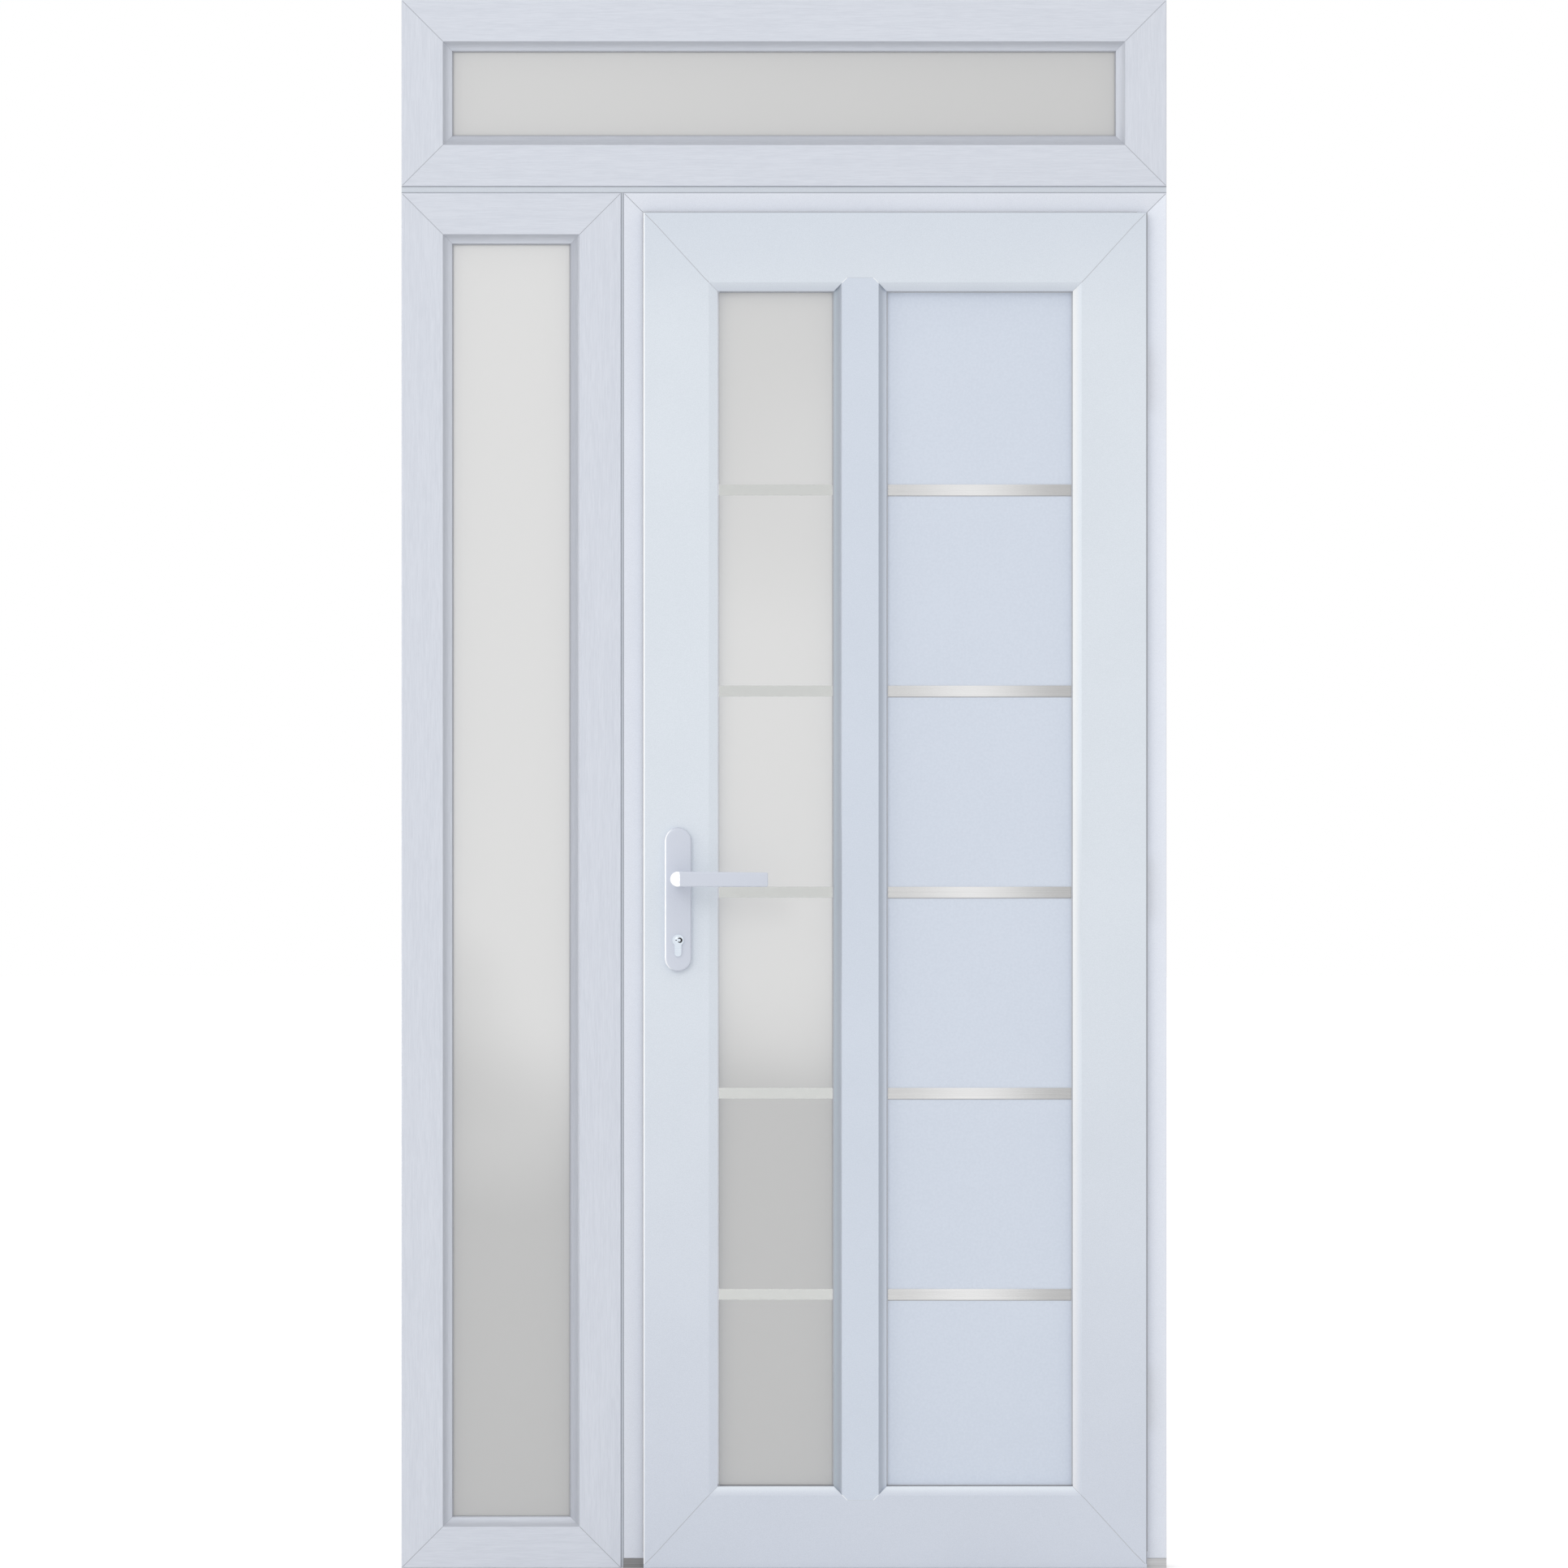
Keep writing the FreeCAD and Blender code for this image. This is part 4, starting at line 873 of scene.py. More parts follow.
def weld_lines():
    """The mitres of the fixed frames, the door frame and the leaf, front and back."""
    every = ("lower left", "lower right", "upper right", "upper left")
    upper = ("upper right", "upper left")
    cove_start = FIXED_FACE - COVE_WIDTH
    flat = straight((FACE_EDGE_RADIUS, 0), (cove_start, 0), 6)
    cove = bowed((cove_start, 0), (FIXED_FACE, COVE_DEPTH), COVE_HOLLOW, 8)
    fixed_front = even(np.concatenate([flat, cove[1:]]))
    fixed_back = even(straight((FACE_EDGE_RADIUS, 0), (FIXED_FACE - GLAZING_REBATE, 0)))
    lines = []
    for rect in (TRANSOM, SIDELIGHT):
        lines += corner_welds(rect, fixed_front, FRAME_FRONT, 1, every)
        lines += corner_welds(rect, fixed_back, FRAME_BACK, -1, every)
    frame_front = even(straight((FACE_EDGE_RADIUS, 0), (DOOR_FRAME_FACE - FACE_EDGE_RADIUS, 0)))
    frame_back = even(straight((FACE_EDGE_RADIUS, 0), (DOOR_FRAME_BACK - FACE_EDGE_RADIUS, 0)))
    lines += corner_welds(DOOR_FRAME, frame_front, FRAME_FRONT, 1, upper)
    lines += corner_welds(DOOR_FRAME, frame_back, FRAME_BACK, -1, upper)
    piece("frame_weld_lines", joined(lines), "weld_line", "frame")

    flange = (FLANGE_WIDTH, FLANGE_WIDTH, 0)
    rebate = (LEAF_STILE - GLAZING_REBATE, LEAF_RAIL - GLAZING_REBATE, 0)
    bevel = (LEAF_STILE - LEAF_BEVEL_WIDTH, LEAF_RAIL - LEAF_BEVEL_WIDTH, 0)
    edge = (LEAF_EDGE_RADIUS, LEAF_EDGE_RADIUS, 0)
    back_edge = (FLANGE_WIDTH + FACE_EDGE_RADIUS, FLANGE_WIDTH + FACE_EDGE_RADIUS, 0)
    opening = (LEAF_STILE, LEAF_RAIL, LEAF_BEVEL_DEPTH)
    leaf_front = [edge, flange, *straight(flange, rebate)[1:], bevel, opening]
    lines = corner_welds(LEAF, leaf_front, LEAF_FRONT, 1, every)
    lines += corner_welds(LEAF, straight(back_edge, rebate), LEAF_BACK, -1, every)
    piece("leaf_weld_lines", joined(lines), "leaf_weld_line", "leaf")


def ribbon(start, end, face, half_width=WELD_HALF_WIDTH):
    """A weld line straight across a front face, between two places in (x, z)."""
    points = in_elevation(straight(start, end), face)
    run = points[-1] - points[0]
    across = np.array([-run[2], 0.0, run[0]]) / np.linalg.norm(run)
    return weld_line((points, np.tile((0.0, -1.0, 0.0), (len(points), 1))), across, half_width)


def mullion_joints():
    """The mullion's blunt-pointed ends in the rails: cut edges that show white, partly as painted highlight,
    and a faint joint between.
    """
    middle = (GLASS_LIGHT[2] + PANEL_LIGHT[0]) / 2
    half = (PANEL_LIGHT[0] - GLASS_LIGHT[2]) / 2
    flat = half - MULLION_COVE
    point = half - GLAZING_REBATE
    cut_edges = []
    joints = []
    for z, outward in ((GLASS_LIGHT[1], -1), (GLASS_LIGHT[3], 1)):
        shoulder = z + outward * MULLION_COVE
        end = z + outward * GLAZING_REBATE
        cut_edges += [ribbon((middle + side * flat, shoulder), (middle + side * point, end), LEAF_FRONT)
                      for side in (-1, 1)]
        joints.append(ribbon((middle - point, end), (middle + point, end), LEAF_FRONT))
    piece("mullion_cut_edges", joined(cut_edges), "cut_pvc", "leaf")
    piece("mullion_end_joints", joined(joints), "faint_joint", "leaf")


def coupler_joints():
    """Joint lines along both edges of each coupler, where it meets the frames beside it."""
    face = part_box("transom_coupler")[0].y
    levels = (SIDELIGHT[3] + JOINT_HALF_WIDTH, TRANSOM[1] - JOINT_HALF_WIDTH)
    sides = (SIDELIGHT[2] + JOINT_HALF_WIDTH, DOOR_FRAME[0] - JOINT_HALF_WIDTH)
    lines = [ribbon((-RIGHT, z), (RIGHT, z), face, JOINT_HALF_WIDTH) for z in levels]
    lines += [ribbon((x, 0.0), (x, SIDELIGHT[3]), face, JOINT_HALF_WIDTH) for x in sides]
    piece("coupler_joints", joined(lines), "weld_line", "frame")


# Handle set


def rounded_sections(front, back, low, high, radius, steps=7):
    """Round-cornered rectangles in (depth, height), one a station, as an array (stations, around, 2)."""
    half_depth = np.abs(back - front) / 2
    half_height = (high - low) / 2
    radius = np.minimum(radius, np.minimum(half_depth, half_height))
    quarters = np.stack([arc(start, start + 90, steps) for start in (0, 90, 180, 270)])
    signs = np.array([(1, 1), (-1, 1), (-1, -1), (1, -1)], float)
    reach = np.stack([half_depth - radius, half_height - radius], axis=1)
    offsets = reach[:, None, None] * signs[None, :, None] + radius[:, None, None, None] * quarters[None]
    middle = np.stack([(front + back) / 2, (low + high) / 2], axis=1)
    return (middle[:, None, None] + offsets).reshape(len(front), -1, 2)


def lever_piece(name, plate_face, outward):
    """Lever handle: round-cornered sections carried along its length.

    The height follows the front outline, a half circle at the axis and an upper edge that falls to the tip.
    The depth follows the plan: a slanted outer elbow, a grip that thins a little and a tip that turns back.
    """
    half = LEVER_HEIGHT / 2
    grip_back = LEVER_REACH - GRIP_THICKNESS
    elbow_back = grip_back - NECK_RADIUS
    round_end = -half * np.cos(np.radians(np.linspace(0, 90, 15)))
    tip_ease = GRIP_EDGE_RADIUS * np.sin(np.radians(np.linspace(0, 90, 6)))
    middle = [NECK_RADIUS, NECK_RADIUS + ELBOW_SPREAD, LEVER_LENGTH / 2, LEVER_LENGTH - LEVER_TIP_LENGTH]
    along = np.concatenate([round_end, [GRIP_TAPER], middle, LEVER_LENGTH - GRIP_EDGE_RADIUS + tip_ease])
    eased = GRIP_EDGE_RADIUS - np.sqrt(np.maximum(
        GRIP_EDGE_RADIUS ** 2 - np.maximum(along - LEVER_LENGTH + GRIP_EDGE_RADIUS, 0) ** 2, 0))
    bow = np.sqrt(np.maximum(half ** 2 - np.minimum(along, 0) ** 2, 0))
    fall = LEVER_TIP_DROP * np.maximum(along, 0) / LEVER_LENGTH
    low = -bow + eased
    high = bow - fall - eased
    plan_front = np.interp(along, [-half, GRIP_TAPER, LEVER_LENGTH - LEVER_TIP_LENGTH, LEVER_LENGTH],
                           [LEVER_REACH - half - GRIP_TAPER, LEVER_REACH, LEVER_REACH - GRIP_TAPER,
                            grip_back + GRIP_THICKNESS / 2]) - eased
    plan_back = np.interp(along, [NECK_RADIUS, NECK_RADIUS + ELBOW_SPREAD], [elbow_back, grip_back]) + eased
    sections = rounded_sections(plan_front, plan_back, low, high, GRIP_EDGE_RADIUS)
    x = np.broadcast_to(HANDLE_X + along[:, None], sections.shape[:2])
    y = plate_face + outward * sections[..., 0]
    rings = np.stack([x, y, HANDLE_Z + sections[..., 1]], axis=-1)
    neck = [(NECK_RADIUS, NECK_CLEARANCE), (NECK_RADIUS, elbow_back - NECK_FLARE_LENGTH),
            (NECK_RADIUS + NECK_FLARE, elbow_back + NECK_OVERLAP)]
    neck_shape = turned(neck, (HANDLE_X, plate_face, HANDLE_Z), (0, outward, 0), 48)
    made = piece(name, joined([loft(rings), neck_shape]), "lever_white", "lever")
    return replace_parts(made, name.replace("_handle", ""))


def stadium(rect, steps=24):
    """Outline of a tall round-ended plate: a half circle over and under two straight sides, as (x, z)."""
    left, bottom, right, top = rect
    radius = (right - left) / 2
    middle = (left + right) / 2
    upper = arc(0, 180, steps) * radius + (middle, top - radius)
    lower = arc(180, 360, steps) * radius + (middle, bottom + radius)
    return np.concatenate([upper, lower])


def plate_piece(name, node, face, outward):
    """Handle plate: its outline drawn in over a quarter-round rim, then up a slight crown to the middle."""
    rect = elevation(node)
    half = (rect[2] - rect[0]) / 2
    rim = arc(0, 90, 9)
    insets = np.concatenate([[0.0], PLATE_RIM_RADIUS * (1 - rim[:, 0]), [half / 2, half]])
    shoulder = PLATE_THICKNESS - PLATE_CROWN - PLATE_RIM_RADIUS
    heights = np.concatenate([[0.0], shoulder + PLATE_RIM_RADIUS * rim[:, 1],
                              [PLATE_THICKNESS - PLATE_CROWN / 4, PLATE_THICKNESS]])
    rings = [in_elevation(stadium(grown(rect, -inset)), face + outward * height)
             for inset, height in zip(insets, heights)]
    made = piece(name, loft(rings), "handle_white", "leaf")
    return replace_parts(made, node)


def handle_set():
    """Plates and levers on both faces of the leaf."""
    for side, face, outward in (("front", LEAF_FRONT, -1), ("back", LEAF_BACK, 1)):
        plate_piece(f"handle_plate_{side}_moulded", f"handle_plate_{side}", face, outward)
        lever_piece(f"lever_handle_{side}", face + outward * PLATE_THICKNESS, outward)


# Lock and screws

PLUG_RADIUS = 5.2 * MM
PLUG_PROUD = 0.4 * MM
INLAY_PROUD = 0.06 * MM
# Shares of a raised piece: how much of its outline its shown edge keeps, and of its height stands upright
RAISED_TOP = 0.94
RAISED_SIDE = 0.6
# Each keyway circle's middle, right of the plug's, and its radius
KEYWAY_OUTER = (2.6 * MM, 4.0 * MM)
KEYWAY_INNER = (1.7 * MM, 2.2 * MM)
KEYWAY_OPENING = 45.0
WARD_PLACE = -2.9 * MM
WARD_LENGTH = 2.2 * MM
WARD_HEIGHT = 1.4 * MM
WARD_ROUNDNESS = 0.9
SCREW_RADIUS = 3.4 * MM
SCREW_PROUD = 0.15 * MM
SCREW_EDGE = 0.1 * MM
CROSS_PROUD = 0.03 * MM
HINGE_SCREW_SPREAD = 30.0 * MM
FRAME_HINGE_SCREW_DEPTH = 20.0 * MM
LEAF_HINGE_SCREW_DEPTH = 15.0 * MM
STRIKE_SCREW_INSET = 10.0 * MM
PLATE_SCREW_INSETS = (11.0 * MM, 15.0 * MM)
# Places of the faceplate's screws, as shares of its length
FACEPLATE_SCREWS = (0.008, 0.14, 0.28, 0.4, 0.56, 0.72, 0.86, 0.992)


def raised(outline, face, outward, proud):
    """An outline in (x, z) raised off a face, with its shown edge drawn in a little towards its middle."""
    middle = outline.mean(axis=0)
    drawn = middle + (outline - middle) * RAISED_TOP
    return loft([in_elevation(outline, face), in_elevation(outline, face + outward * proud * RAISED_SIDE),
                 in_elevation(drawn, face + outward * proud)])


def keyway(face, outward):
    """Keyway on a plug as a dark inlay of painted shade: the strip between two circles that stand off to the
    right, open to the left.
    """
    turn = arc(KEYWAY_OPENING - 180.0, 180.0 - KEYWAY_OPENING, 33)
    middle = np.array([HANDLE_X, CYLINDER_Z])
    inner, outer = (middle + (offset, 0.0) + turn * radius
                    for offset, radius in (KEYWAY_INNER, KEYWAY_OUTER))
    near = face + outward * INLAY_PROUD
    rings = np.stack([in_elevation(inner, face), in_elevation(inner, near),
                      in_elevation(outer, near), in_elevation(outer, face)], axis=1)
    return loft(rings)


def ward(face, outward):
    """Dark round-ended dash of painted shade on a plug, left of its keyway."""
    half_length, half_height = WARD_LENGTH / 2, WARD_HEIGHT / 2
    rect = (HANDLE_X + WARD_PLACE - half_length, CYLINDER_Z - half_height,
            HANDLE_X + WARD_PLACE + half_length, CYLINDER_Z + half_height)
    outline = rounded_rectangle(rect, half_height * WARD_ROUNDNESS)
    return loft([in_elevation(outline, face), in_elevation(outline, face + outward * INLAY_PROUD)])


def lock_plugs():
    """On both ends of the cylinder, a round plug with a keyway in its face, painted as dark shade."""
    low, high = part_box("lock_cylinder")
    circle = arc(0, 360, 49)[:-1] * PLUG_RADIUS + (HANDLE_X, CYLINDER_Z)
    plugs = []
    keyways = []
    for face, outward in ((low.y, -1), (high.y, 1)):
        plugs.append(raised(circle, face, outward, PLUG_PROUD))
        plug_face = face + outward * PLUG_PROUD
        keyways += [keyway(plug_face, outward), ward(plug_face, outward)]
    piece("lock_plugs", joined(plugs), "lock_nickel", "leaf")
    piece("lock_keyways", joined(keyways), "dark_recess", "leaf")


def screw_shapes(axis):
    """A flat countersunk head facing an axis, and the cross in it as a dark inlay of painted shade."""
    axis = np.asarray(axis, float)
    profile = [(SCREW_RADIUS, 0), (SCREW_RADIUS - SCREW_EDGE, SCREW_PROUD), (0, SCREW_PROUD)]
    head = turned(profile, (0, 0, 0), axis, 24)
    side = np.cross(axis, (0.0, 0.0, 1.0))
    up = np.array((0.0, 0.0, 1.0))
    arm, waist = 0.55 * SCREW_RADIUS, 0.14 * SCREW_RADIUS
    quarter = np.array([(arm, -waist), (arm, waist), (waist, waist)])
    quarter_turn = np.array([(0, 1), (-1, 0)])
    cross = np.concatenate([quarter @ np.linalg.matrix_power(quarter_turn, turns) for turns in range(4)])
    flat = cross[:, :1] * side + cross[:, 1:] * up
    return head, loft([flat + axis * SCREW_PROUD, flat + axis * (SCREW_PROUD + CROSS_PROUD)])


def screws(name, places, axis, body):
    """Screw heads at some places, all facing one way."""
    head, cross = screw_shapes(axis)
    piece(f"{name}_screws", repeated(head, places), "hardware_steel", body)
    piece(f"{name}_screw_crosses", repeated(cross, places), "dark_recess", body)


def all_screws():
    """Screws in the hinge plates, the strike plate, the faceplate and the inner handle plate."""
    low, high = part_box("hinge_frame_halves")
    half_hinge = HINGE_LENGTH / 2
    middles = np.linspace(low.z + half_hinge, high.z - half_hinge, HINGE_COUNT)
    heights = (middles[:, None] + np.array([-HINGE_SCREW_SPREAD, HINGE_SCREW_SPREAD])).ravel()
    frame_plate = RIGHT - DOOR_FRAME_FACE - HINGE_PLATE
    leaf_plate = LEAF[2] - FLANGE_WIDTH + HINGE_PLATE
    frame_depth = FRAME_FRONT + FRAME_HINGE_SCREW_DEPTH
    leaf_depth = FRAME_FRONT + LEAF_HINGE_SCREW_DEPTH
    screws("frame_hinge", [(frame_plate, frame_depth, z) for z in heights], (-1, 0, 0), "frame")
    screws("leaf_hinge", [(leaf_plate, leaf_depth, z) for z in heights], (1, 0, 0), "leaf")
    low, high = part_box("strike_plate")
    middle = (low.y + high.y) / 2
    heights = (low.z + STRIKE_SCREW_INSET, high.z - STRIKE_SCREW_INSET)
    screws("strike", [(high.x, middle, z) for z in heights], (1, 0, 0), "frame")
    low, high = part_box("lock_faceplate")
    heights = np.array(FACEPLATE_SCREWS) * (high.z - low.z) + low.z
    screws("faceplate", [(low.x, middle, z) for z in heights], (-1, 0, 0), "leaf")
    low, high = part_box("handle_plate_back")
    heights = (low.z + PLATE_SCREW_INSETS[0], high.z - PLATE_SCREW_INSETS[1])
    screws("plate", [(HANDLE_X, high.y, z) for z in heights], (0, 1, 0), "leaf")


def neck_collars():
    """A low round collar on each handle plate, where the lever's neck turns in it."""
    inner = NECK_RADIUS + COLLAR_CLEARANCE
    outer = inner + COLLAR_WIDTH
    section = np.array([(outer, -COLLAR_SEAT), (outer, COLLAR_HEIGHT / 2),
                        (outer - COLLAR_EDGE, COLLAR_HEIGHT), (inner, COLLAR_HEIGHT), (inner, -COLLAR_SEAT)])
    turn = arc(0, 360, 49)[:-1]
    shapes = []
    for face, outward in ((LEAF_FRONT - PLATE_THICKNESS, -1), (LEAF_BACK + PLATE_THICKNESS, 1)):
        rings = np.stack([HANDLE_X + turn[:, :1] * section[None, :, 0],
                          np.broadcast_to(face + outward * section[:, 1], (len(turn), len(section))),
                          HANDLE_Z + turn[:, 1:] * section[None, :, 0]], axis=-1)
        shapes.append(hoop(rings))
    piece("neck_collars", joined(shapes), "handle_white", "leaf")


# Glazing and seals


def square_section(near, far, front, back):
    """A rectangle in (inward, depth) for a ring round an opening."""
    return [(near, front), (far, front), (far, back), (near, back)]


def glazing_trim():
    """A spacer bar between the panes of each sealed unit, and a rubber lip under the beads of each light."""
    glazing = {"frame": [("transom_glass", TRANSOM_OPENING), ("sidelight_glass", SIDELIGHT_OPENING)],
               "leaf": [("leaf_glass", GLASS_LIGHT), ("leaf_panel", PANEL_LIGHT)]}
    for body, lights in glazing.items():
        spacers = []
        lips = []
        for node, opening in lights:
            front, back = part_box(node)[0].y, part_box(node)[1].y
            if node.endswith("glass"):
                bar = square_section(SPACER_INSET, SPACER_INSET + SPACER_WIDTH,
                                     front + PANE_THICKNESS, back - PANE_THICKNESS)
                spacers.append(mitred_ring(grown(opening, PANE_COVERED), bar))
            lip = square_section(-BEAD_LIP_COVERED, BEAD_LIP_SHOWING, back, back + BEAD_LIP_DEPTH)
            lips.append(mitred_ring(opening, lip))
        piece(f"{body}_spacer_bars", joined(spacers), "spacer_bar", body)
        piece(f"{body}_bead_lips", joined(lips), "gasket_rubber", body)


def strip_shadow_bedding():
    """A thin bead of grey sealant along the lower edge of each front strip, which also stands in for the
    shadow under it.
    """
    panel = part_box("leaf_panel")[0].y
    half_height, proud, sunk = 0.7 * MM, 0.6 * MM, 0.2
    section = np.concatenate([arc(0, 180, 7), [(-1, -sunk), (1, -sunk)]])
    depth, height = panel - proud * section[:, 1], half_height * (section[:, 0] - 1)
    ends = [np.column_stack([np.full(len(section), x), depth, height]) for x in (STRIPS[0], STRIPS[2])]
    places = [(0.0, 0.0, low) for low, high in clear_bands()]
    piece("strip_shadow_bedding", repeated(loft(ends), places), "gasket_rubber", "leaf")


def leaf_seal_shadow_lip():
    """The leaf seal's edge past the leaf's lock edge and top: a blunt section on two mitred runs, whose dark
    line also stands in for the leaf's shadow on the frame.
    """
    inset, proud, ease = 5.0 * MM, 1.6 * MM, 0.64 * MM
    seat, thickness, hinge_clearance = 0.1 * MM, 2.4 * MM, 4.0 * MM
    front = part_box("leaf_seal")[0].y + seat
    back = front + thickness
    section = np.array([(-inset, front), (proud - ease, front), (proud, front + ease),
                        (proud, back - ease), (proud - ease, back), (-inset, back)])
    outward, depth = section.T
    hinge_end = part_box("hinge_pins")[0].x - hinge_clearance
    foot = np.stack([LEAF[0] - outward, depth, np.full(len(depth), LEAF[1] + FLANGE_WIDTH)], axis=1)
    corner = np.stack([LEAF[0] - outward, depth, LEAF[3] + outward], axis=1)
    end = np.stack([np.full(len(depth), hinge_end), depth, LEAF[3] + outward], axis=1)
    piece("leaf_seal_shadow_lip", loft([foot, corner, end]), "gasket_rubber", "leaf")


def hinge_side_shadow_gasket():
    """A flat gasket on the door frame, just past the leaf's hinge edge: a low bead from foot to top, whose
    dark line also stands in for the leaf's shadow.
    """
    half_width, past = 1.2 * MM, 0.4 * MM
    x = LEAF[2] + past
    strip = ribbon((x, LEAF[1] + FLANGE_WIDTH), (x, LEAF[3]), FRAME_FRONT, half_width)
    piece("hinge_side_shadow_gasket", strip, "gasket_rubber", "frame")


def leaf_drip_lip():
    """A slim white lip under the leaf's front edge: a section with one rounded corner, carried across."""
    clear, thickness, ease, seat = 1.2 * MM, 2.5 * MM, 0.8 * MM, 0.05 * MM
    front = LEAF_FRONT + seat
    top = LEAF[1] + LEAF_EDGE_RADIUS
    corner = np.array([front + ease, clear + ease]) + ease * arc(180, 270, 5)
    back = front + thickness
    section = np.concatenate([[(front, top)], corner, [(back, clear), (back, top)]])
    ends = [np.column_stack([np.full(len(section), x), section]) for x in (LEAF[0] + seat, LEAF[2] - seat)]
    piece("leaf_drip_lip", loft(ends), "leaf_pvc", "leaf")


CARRIER_HEIGHT = 2.0 * MM
BRISTLE_ROWS = 5
BRISTLE_ROW_INSET = 0.9 * MM
BRISTLE_END_INSET = 1.0 * MM
BRISTLE_PITCH = 1.6 * MM
BRISTLE_ROOT = 0.2 * MM
BRISTLE_LEAN = 0.5 * MM
BRISTLE_UNEVENNESS = 0.8 * MM
BRISTLE_RADIUS = 0.45 * MM
BRISTLE_TAPER = 0.35


def brush_strip():
    """Brush under the leaf: a slim carrier, and tapered three-sided bristles that lean a little at random."""
    low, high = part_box("bottom_seal")
    carrier_z = high.z - CARRIER_HEIGHT
    outline = np.array([(low.y, carrier_z), (high.y, carrier_z), (high.y, high.z), (low.y, high.z)])
    carrier = loft([np.column_stack([np.full(4, x), outline]) for x in (low.x, high.x)])
    spread = np.random.default_rng(7)
    rows = np.linspace(low.y + BRISTLE_ROW_INSET, high.y - BRISTLE_ROW_INSET, BRISTLE_ROWS)
    stations = np.arange(low.x + BRISTLE_END_INSET, high.x - BRISTLE_END_INSET, BRISTLE_PITCH)
    x, y = (part.ravel() for part in np.meshgrid(stations, rows))
    root = np.stack([x, y, np.full(len(x), carrier_z + BRISTLE_ROOT)], axis=1)
    lean = spread.uniform(-BRISTLE_LEAN, BRISTLE_LEAN, (len(x), 2))
    foot = low.z + spread.uniform(0.0, BRISTLE_UNEVENNESS, len(x))
    tip = np.stack([x + lean[:, 0], y + lean[:, 1], foot], axis=1)
    turn = arc(0, 240, 3) * BRISTLE_RADIUS
    ring = np.column_stack([turn, np.zeros(3)])
    rings = [root[:, None] + ring, tip[:, None] + BRISTLE_TAPER * ring]
    points = np.concatenate(rings, axis=1).reshape(-1, 3)
    first = np.arange(len(x))[:, None, None] * 6
    sides = (first + np.array([[0, 1, 4, 3], [1, 2, 5, 4], [2, 0, 3, 5]])).reshape(-1, 4)
    ends = (first + np.array([[0, 2, 1], [3, 4, 5]])).reshape(-1, 3)
    bristles = (points, [sides, ends])
    made = piece("bottom_brush", joined([carrier, bristles]), "brush_pile", "leaf")
    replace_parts(made, "bottom_seal")


# Studio

FLOOR_HALF_SIZE = 60.0
FLOOR_GREY = 0.8
FLOOR_GLOW = 0.28
SURFACE_LIGHT = 0.99


def pale_floor():
    """A wide pale floor that keeps shadows and shows white to the eye, to mirrors and through glass."""
    corners = FLOOR_HALF_SIZE * np.array([(-1, -1, 0), (1, -1, 0), (1, 1, 0), (-1, 1, 0)])
    mesh = bpy.data.meshes.new("pale_floor")
    mesh.from_pydata(corners.tolist(), [], [(0, 1, 2, 3)])
    floor = placed("pale_floor", mesh)
    material = bpy.data.materials.new("pale_floor")
    material.use_nodes = True
    tree = material.node_tree
    tree.nodes.clear()
    matte = add_node(tree, "ShaderNodeBsdfDiffuse")
    matte.inputs["Color"].default_value = (FLOOR_GREY, FLOOR_GREY, FLOOR_GREY, 1.0)
    glow = add_node(tree, "ShaderNodeEmission")
    link(tree, seen_directly(tree, 0.0, FLOOR_GLOW), glow.inputs["Strength"])
    both = add_node(tree, "ShaderNodeAddShader")
    output = add_node(tree, "ShaderNodeOutputMaterial")
    link(tree, matte.outputs["BSDF"], both.inputs[0])
    link(tree, glow.outputs["Emission"], both.inputs[1])
    link(tree, both.outputs["Shader"], output.inputs["Surface"])
    mesh.materials.append(material)


def seen_directly(tree, otherwise, seen):
    """One number for rays from the eye, from mirrors and through glass, and another for all the rest."""
    path = add_node(tree, "ShaderNodeLightPath")
    glossy = math_node(tree, "MAXIMUM", path.outputs["Is Camera Ray"], path.outputs["Is Glossy Ray"])
    direct = math_node(tree, "MAXIMUM", glossy, path.outputs["Is Transmission Ray"])
    return math_node(tree, "ADD", math_node(tree, "MULTIPLY", direct, seen - otherwise), otherwise)


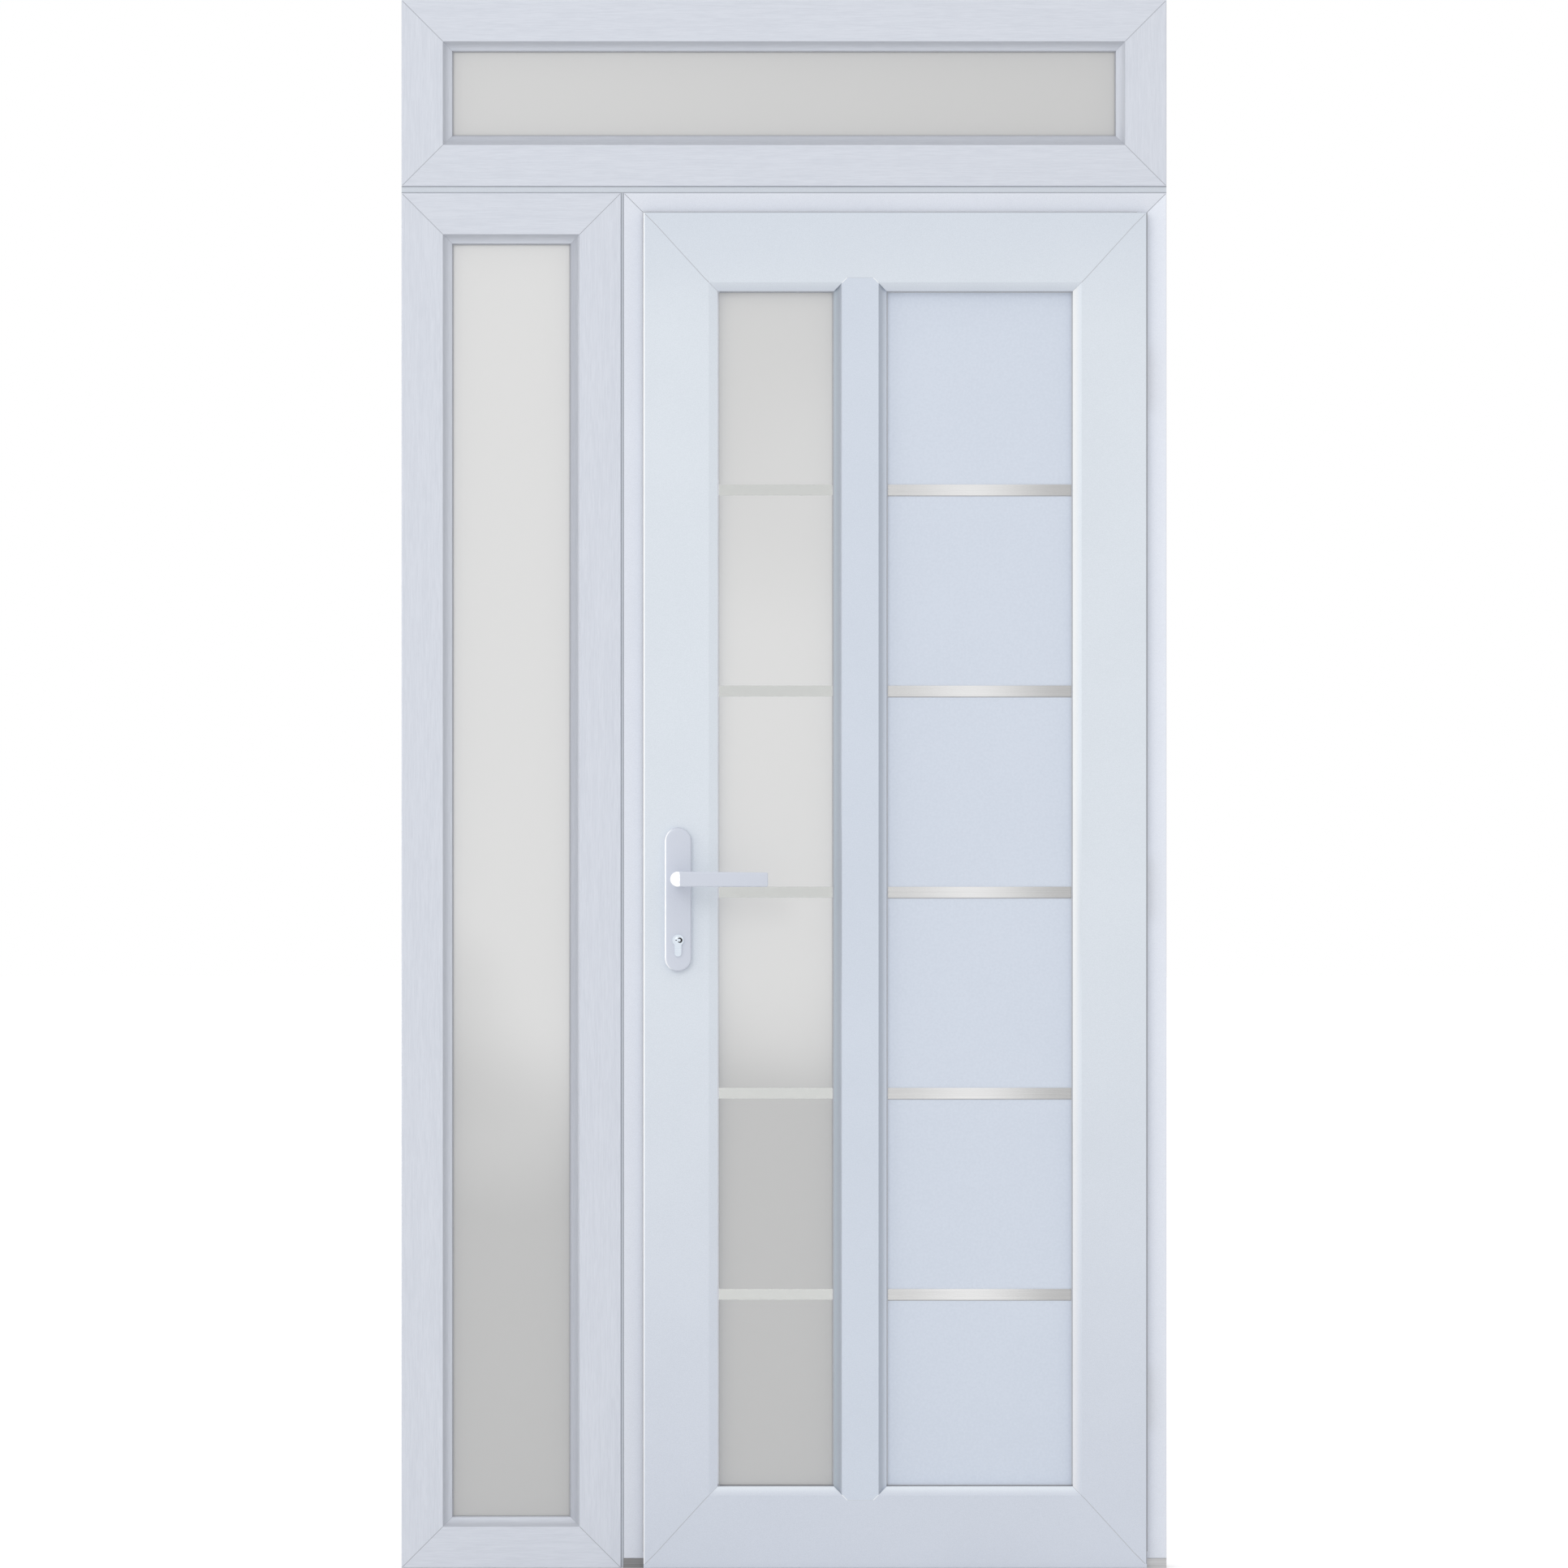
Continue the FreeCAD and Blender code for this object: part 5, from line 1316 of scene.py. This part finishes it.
def studio_world():
    """White all round to the eye; a dimmer even light on surfaces."""
    world = bpy.data.worlds.new("studio")
    world.use_nodes = True
    tree = world.node_tree
    background = next(node for node in tree.nodes if node.type == "BACKGROUND")
    background.inputs["Color"].default_value = (1.0, 1.0, 1.0, 1.0)
    link(tree, seen_directly(tree, SURFACE_LIGHT, 1.0), background.inputs["Strength"])
    bpy.context.scene.world = world


def soft_lamp(name, place, aim, width, height, power, spread=180.0):
    """A flat lamp at a place, turned towards its aim; spread is the angle of its beam, in degrees."""
    data = bpy.data.lights.new(name, "AREA")
    data.shape = "RECTANGLE"
    data.size = width
    data.size_y = height
    data.energy = power
    data.spread = math.radians(spread)
    lamp = placed(name, data)
    lamp.location = place
    direction = Vector(aim) - Vector(place)
    lamp.rotation_euler = direction.to_track_quat("-Z", "Y").to_euler()


def camera():
    """A level camera with a long lens; the frame's front face fills the picture from top to bottom."""
    data = bpy.data.cameras.new("camera")
    data.lens = LENS
    data.sensor_width = SENSOR
    made = placed("camera", data)
    distance = IMAGE_HEIGHT * LENS / SENSOR
    made.location = (0.0, FRAME_FRONT - distance, IMAGE_HEIGHT / 2)
    made.rotation_euler = (math.pi / 2, 0.0, 0.0)
    data.clip_end = 200.0
    bpy.context.scene.camera = made


def studio():
    """Floor, world, camera and three lamps from the left: one broad and high, one tall, one grazing."""
    pale_floor()
    studio_world()
    middle = (0.0, 0.0, IMAGE_HEIGHT / 2)
    soft_lamp("key", (-3.0, -7.0, 5.0), middle, width=3.0, height=3.0, power=60.0)
    soft_lamp("strip", (-5.8, -3.9, 1.3), middle, width=0.4, height=2.4, power=10.0)
    soft_lamp("side", (-5.0, -0.11, 1.3), (0.0, -0.08, 1.3), width=0.07, height=1.8, power=3.0, spread=35.0)
    camera()
    bpy.context.scene.view_settings.view_transform = "Standard"


dress_nodes()
etched_faces()
weld_lines()
mullion_joints()
coupler_joints()
handle_set()
neck_collars()
lock_plugs()
all_screws()
glazing_trim()
strip_shadow_bedding()
leaf_seal_shadow_lip()
hinge_side_shadow_gasket()
leaf_drip_lip()
brush_strip()
studio()
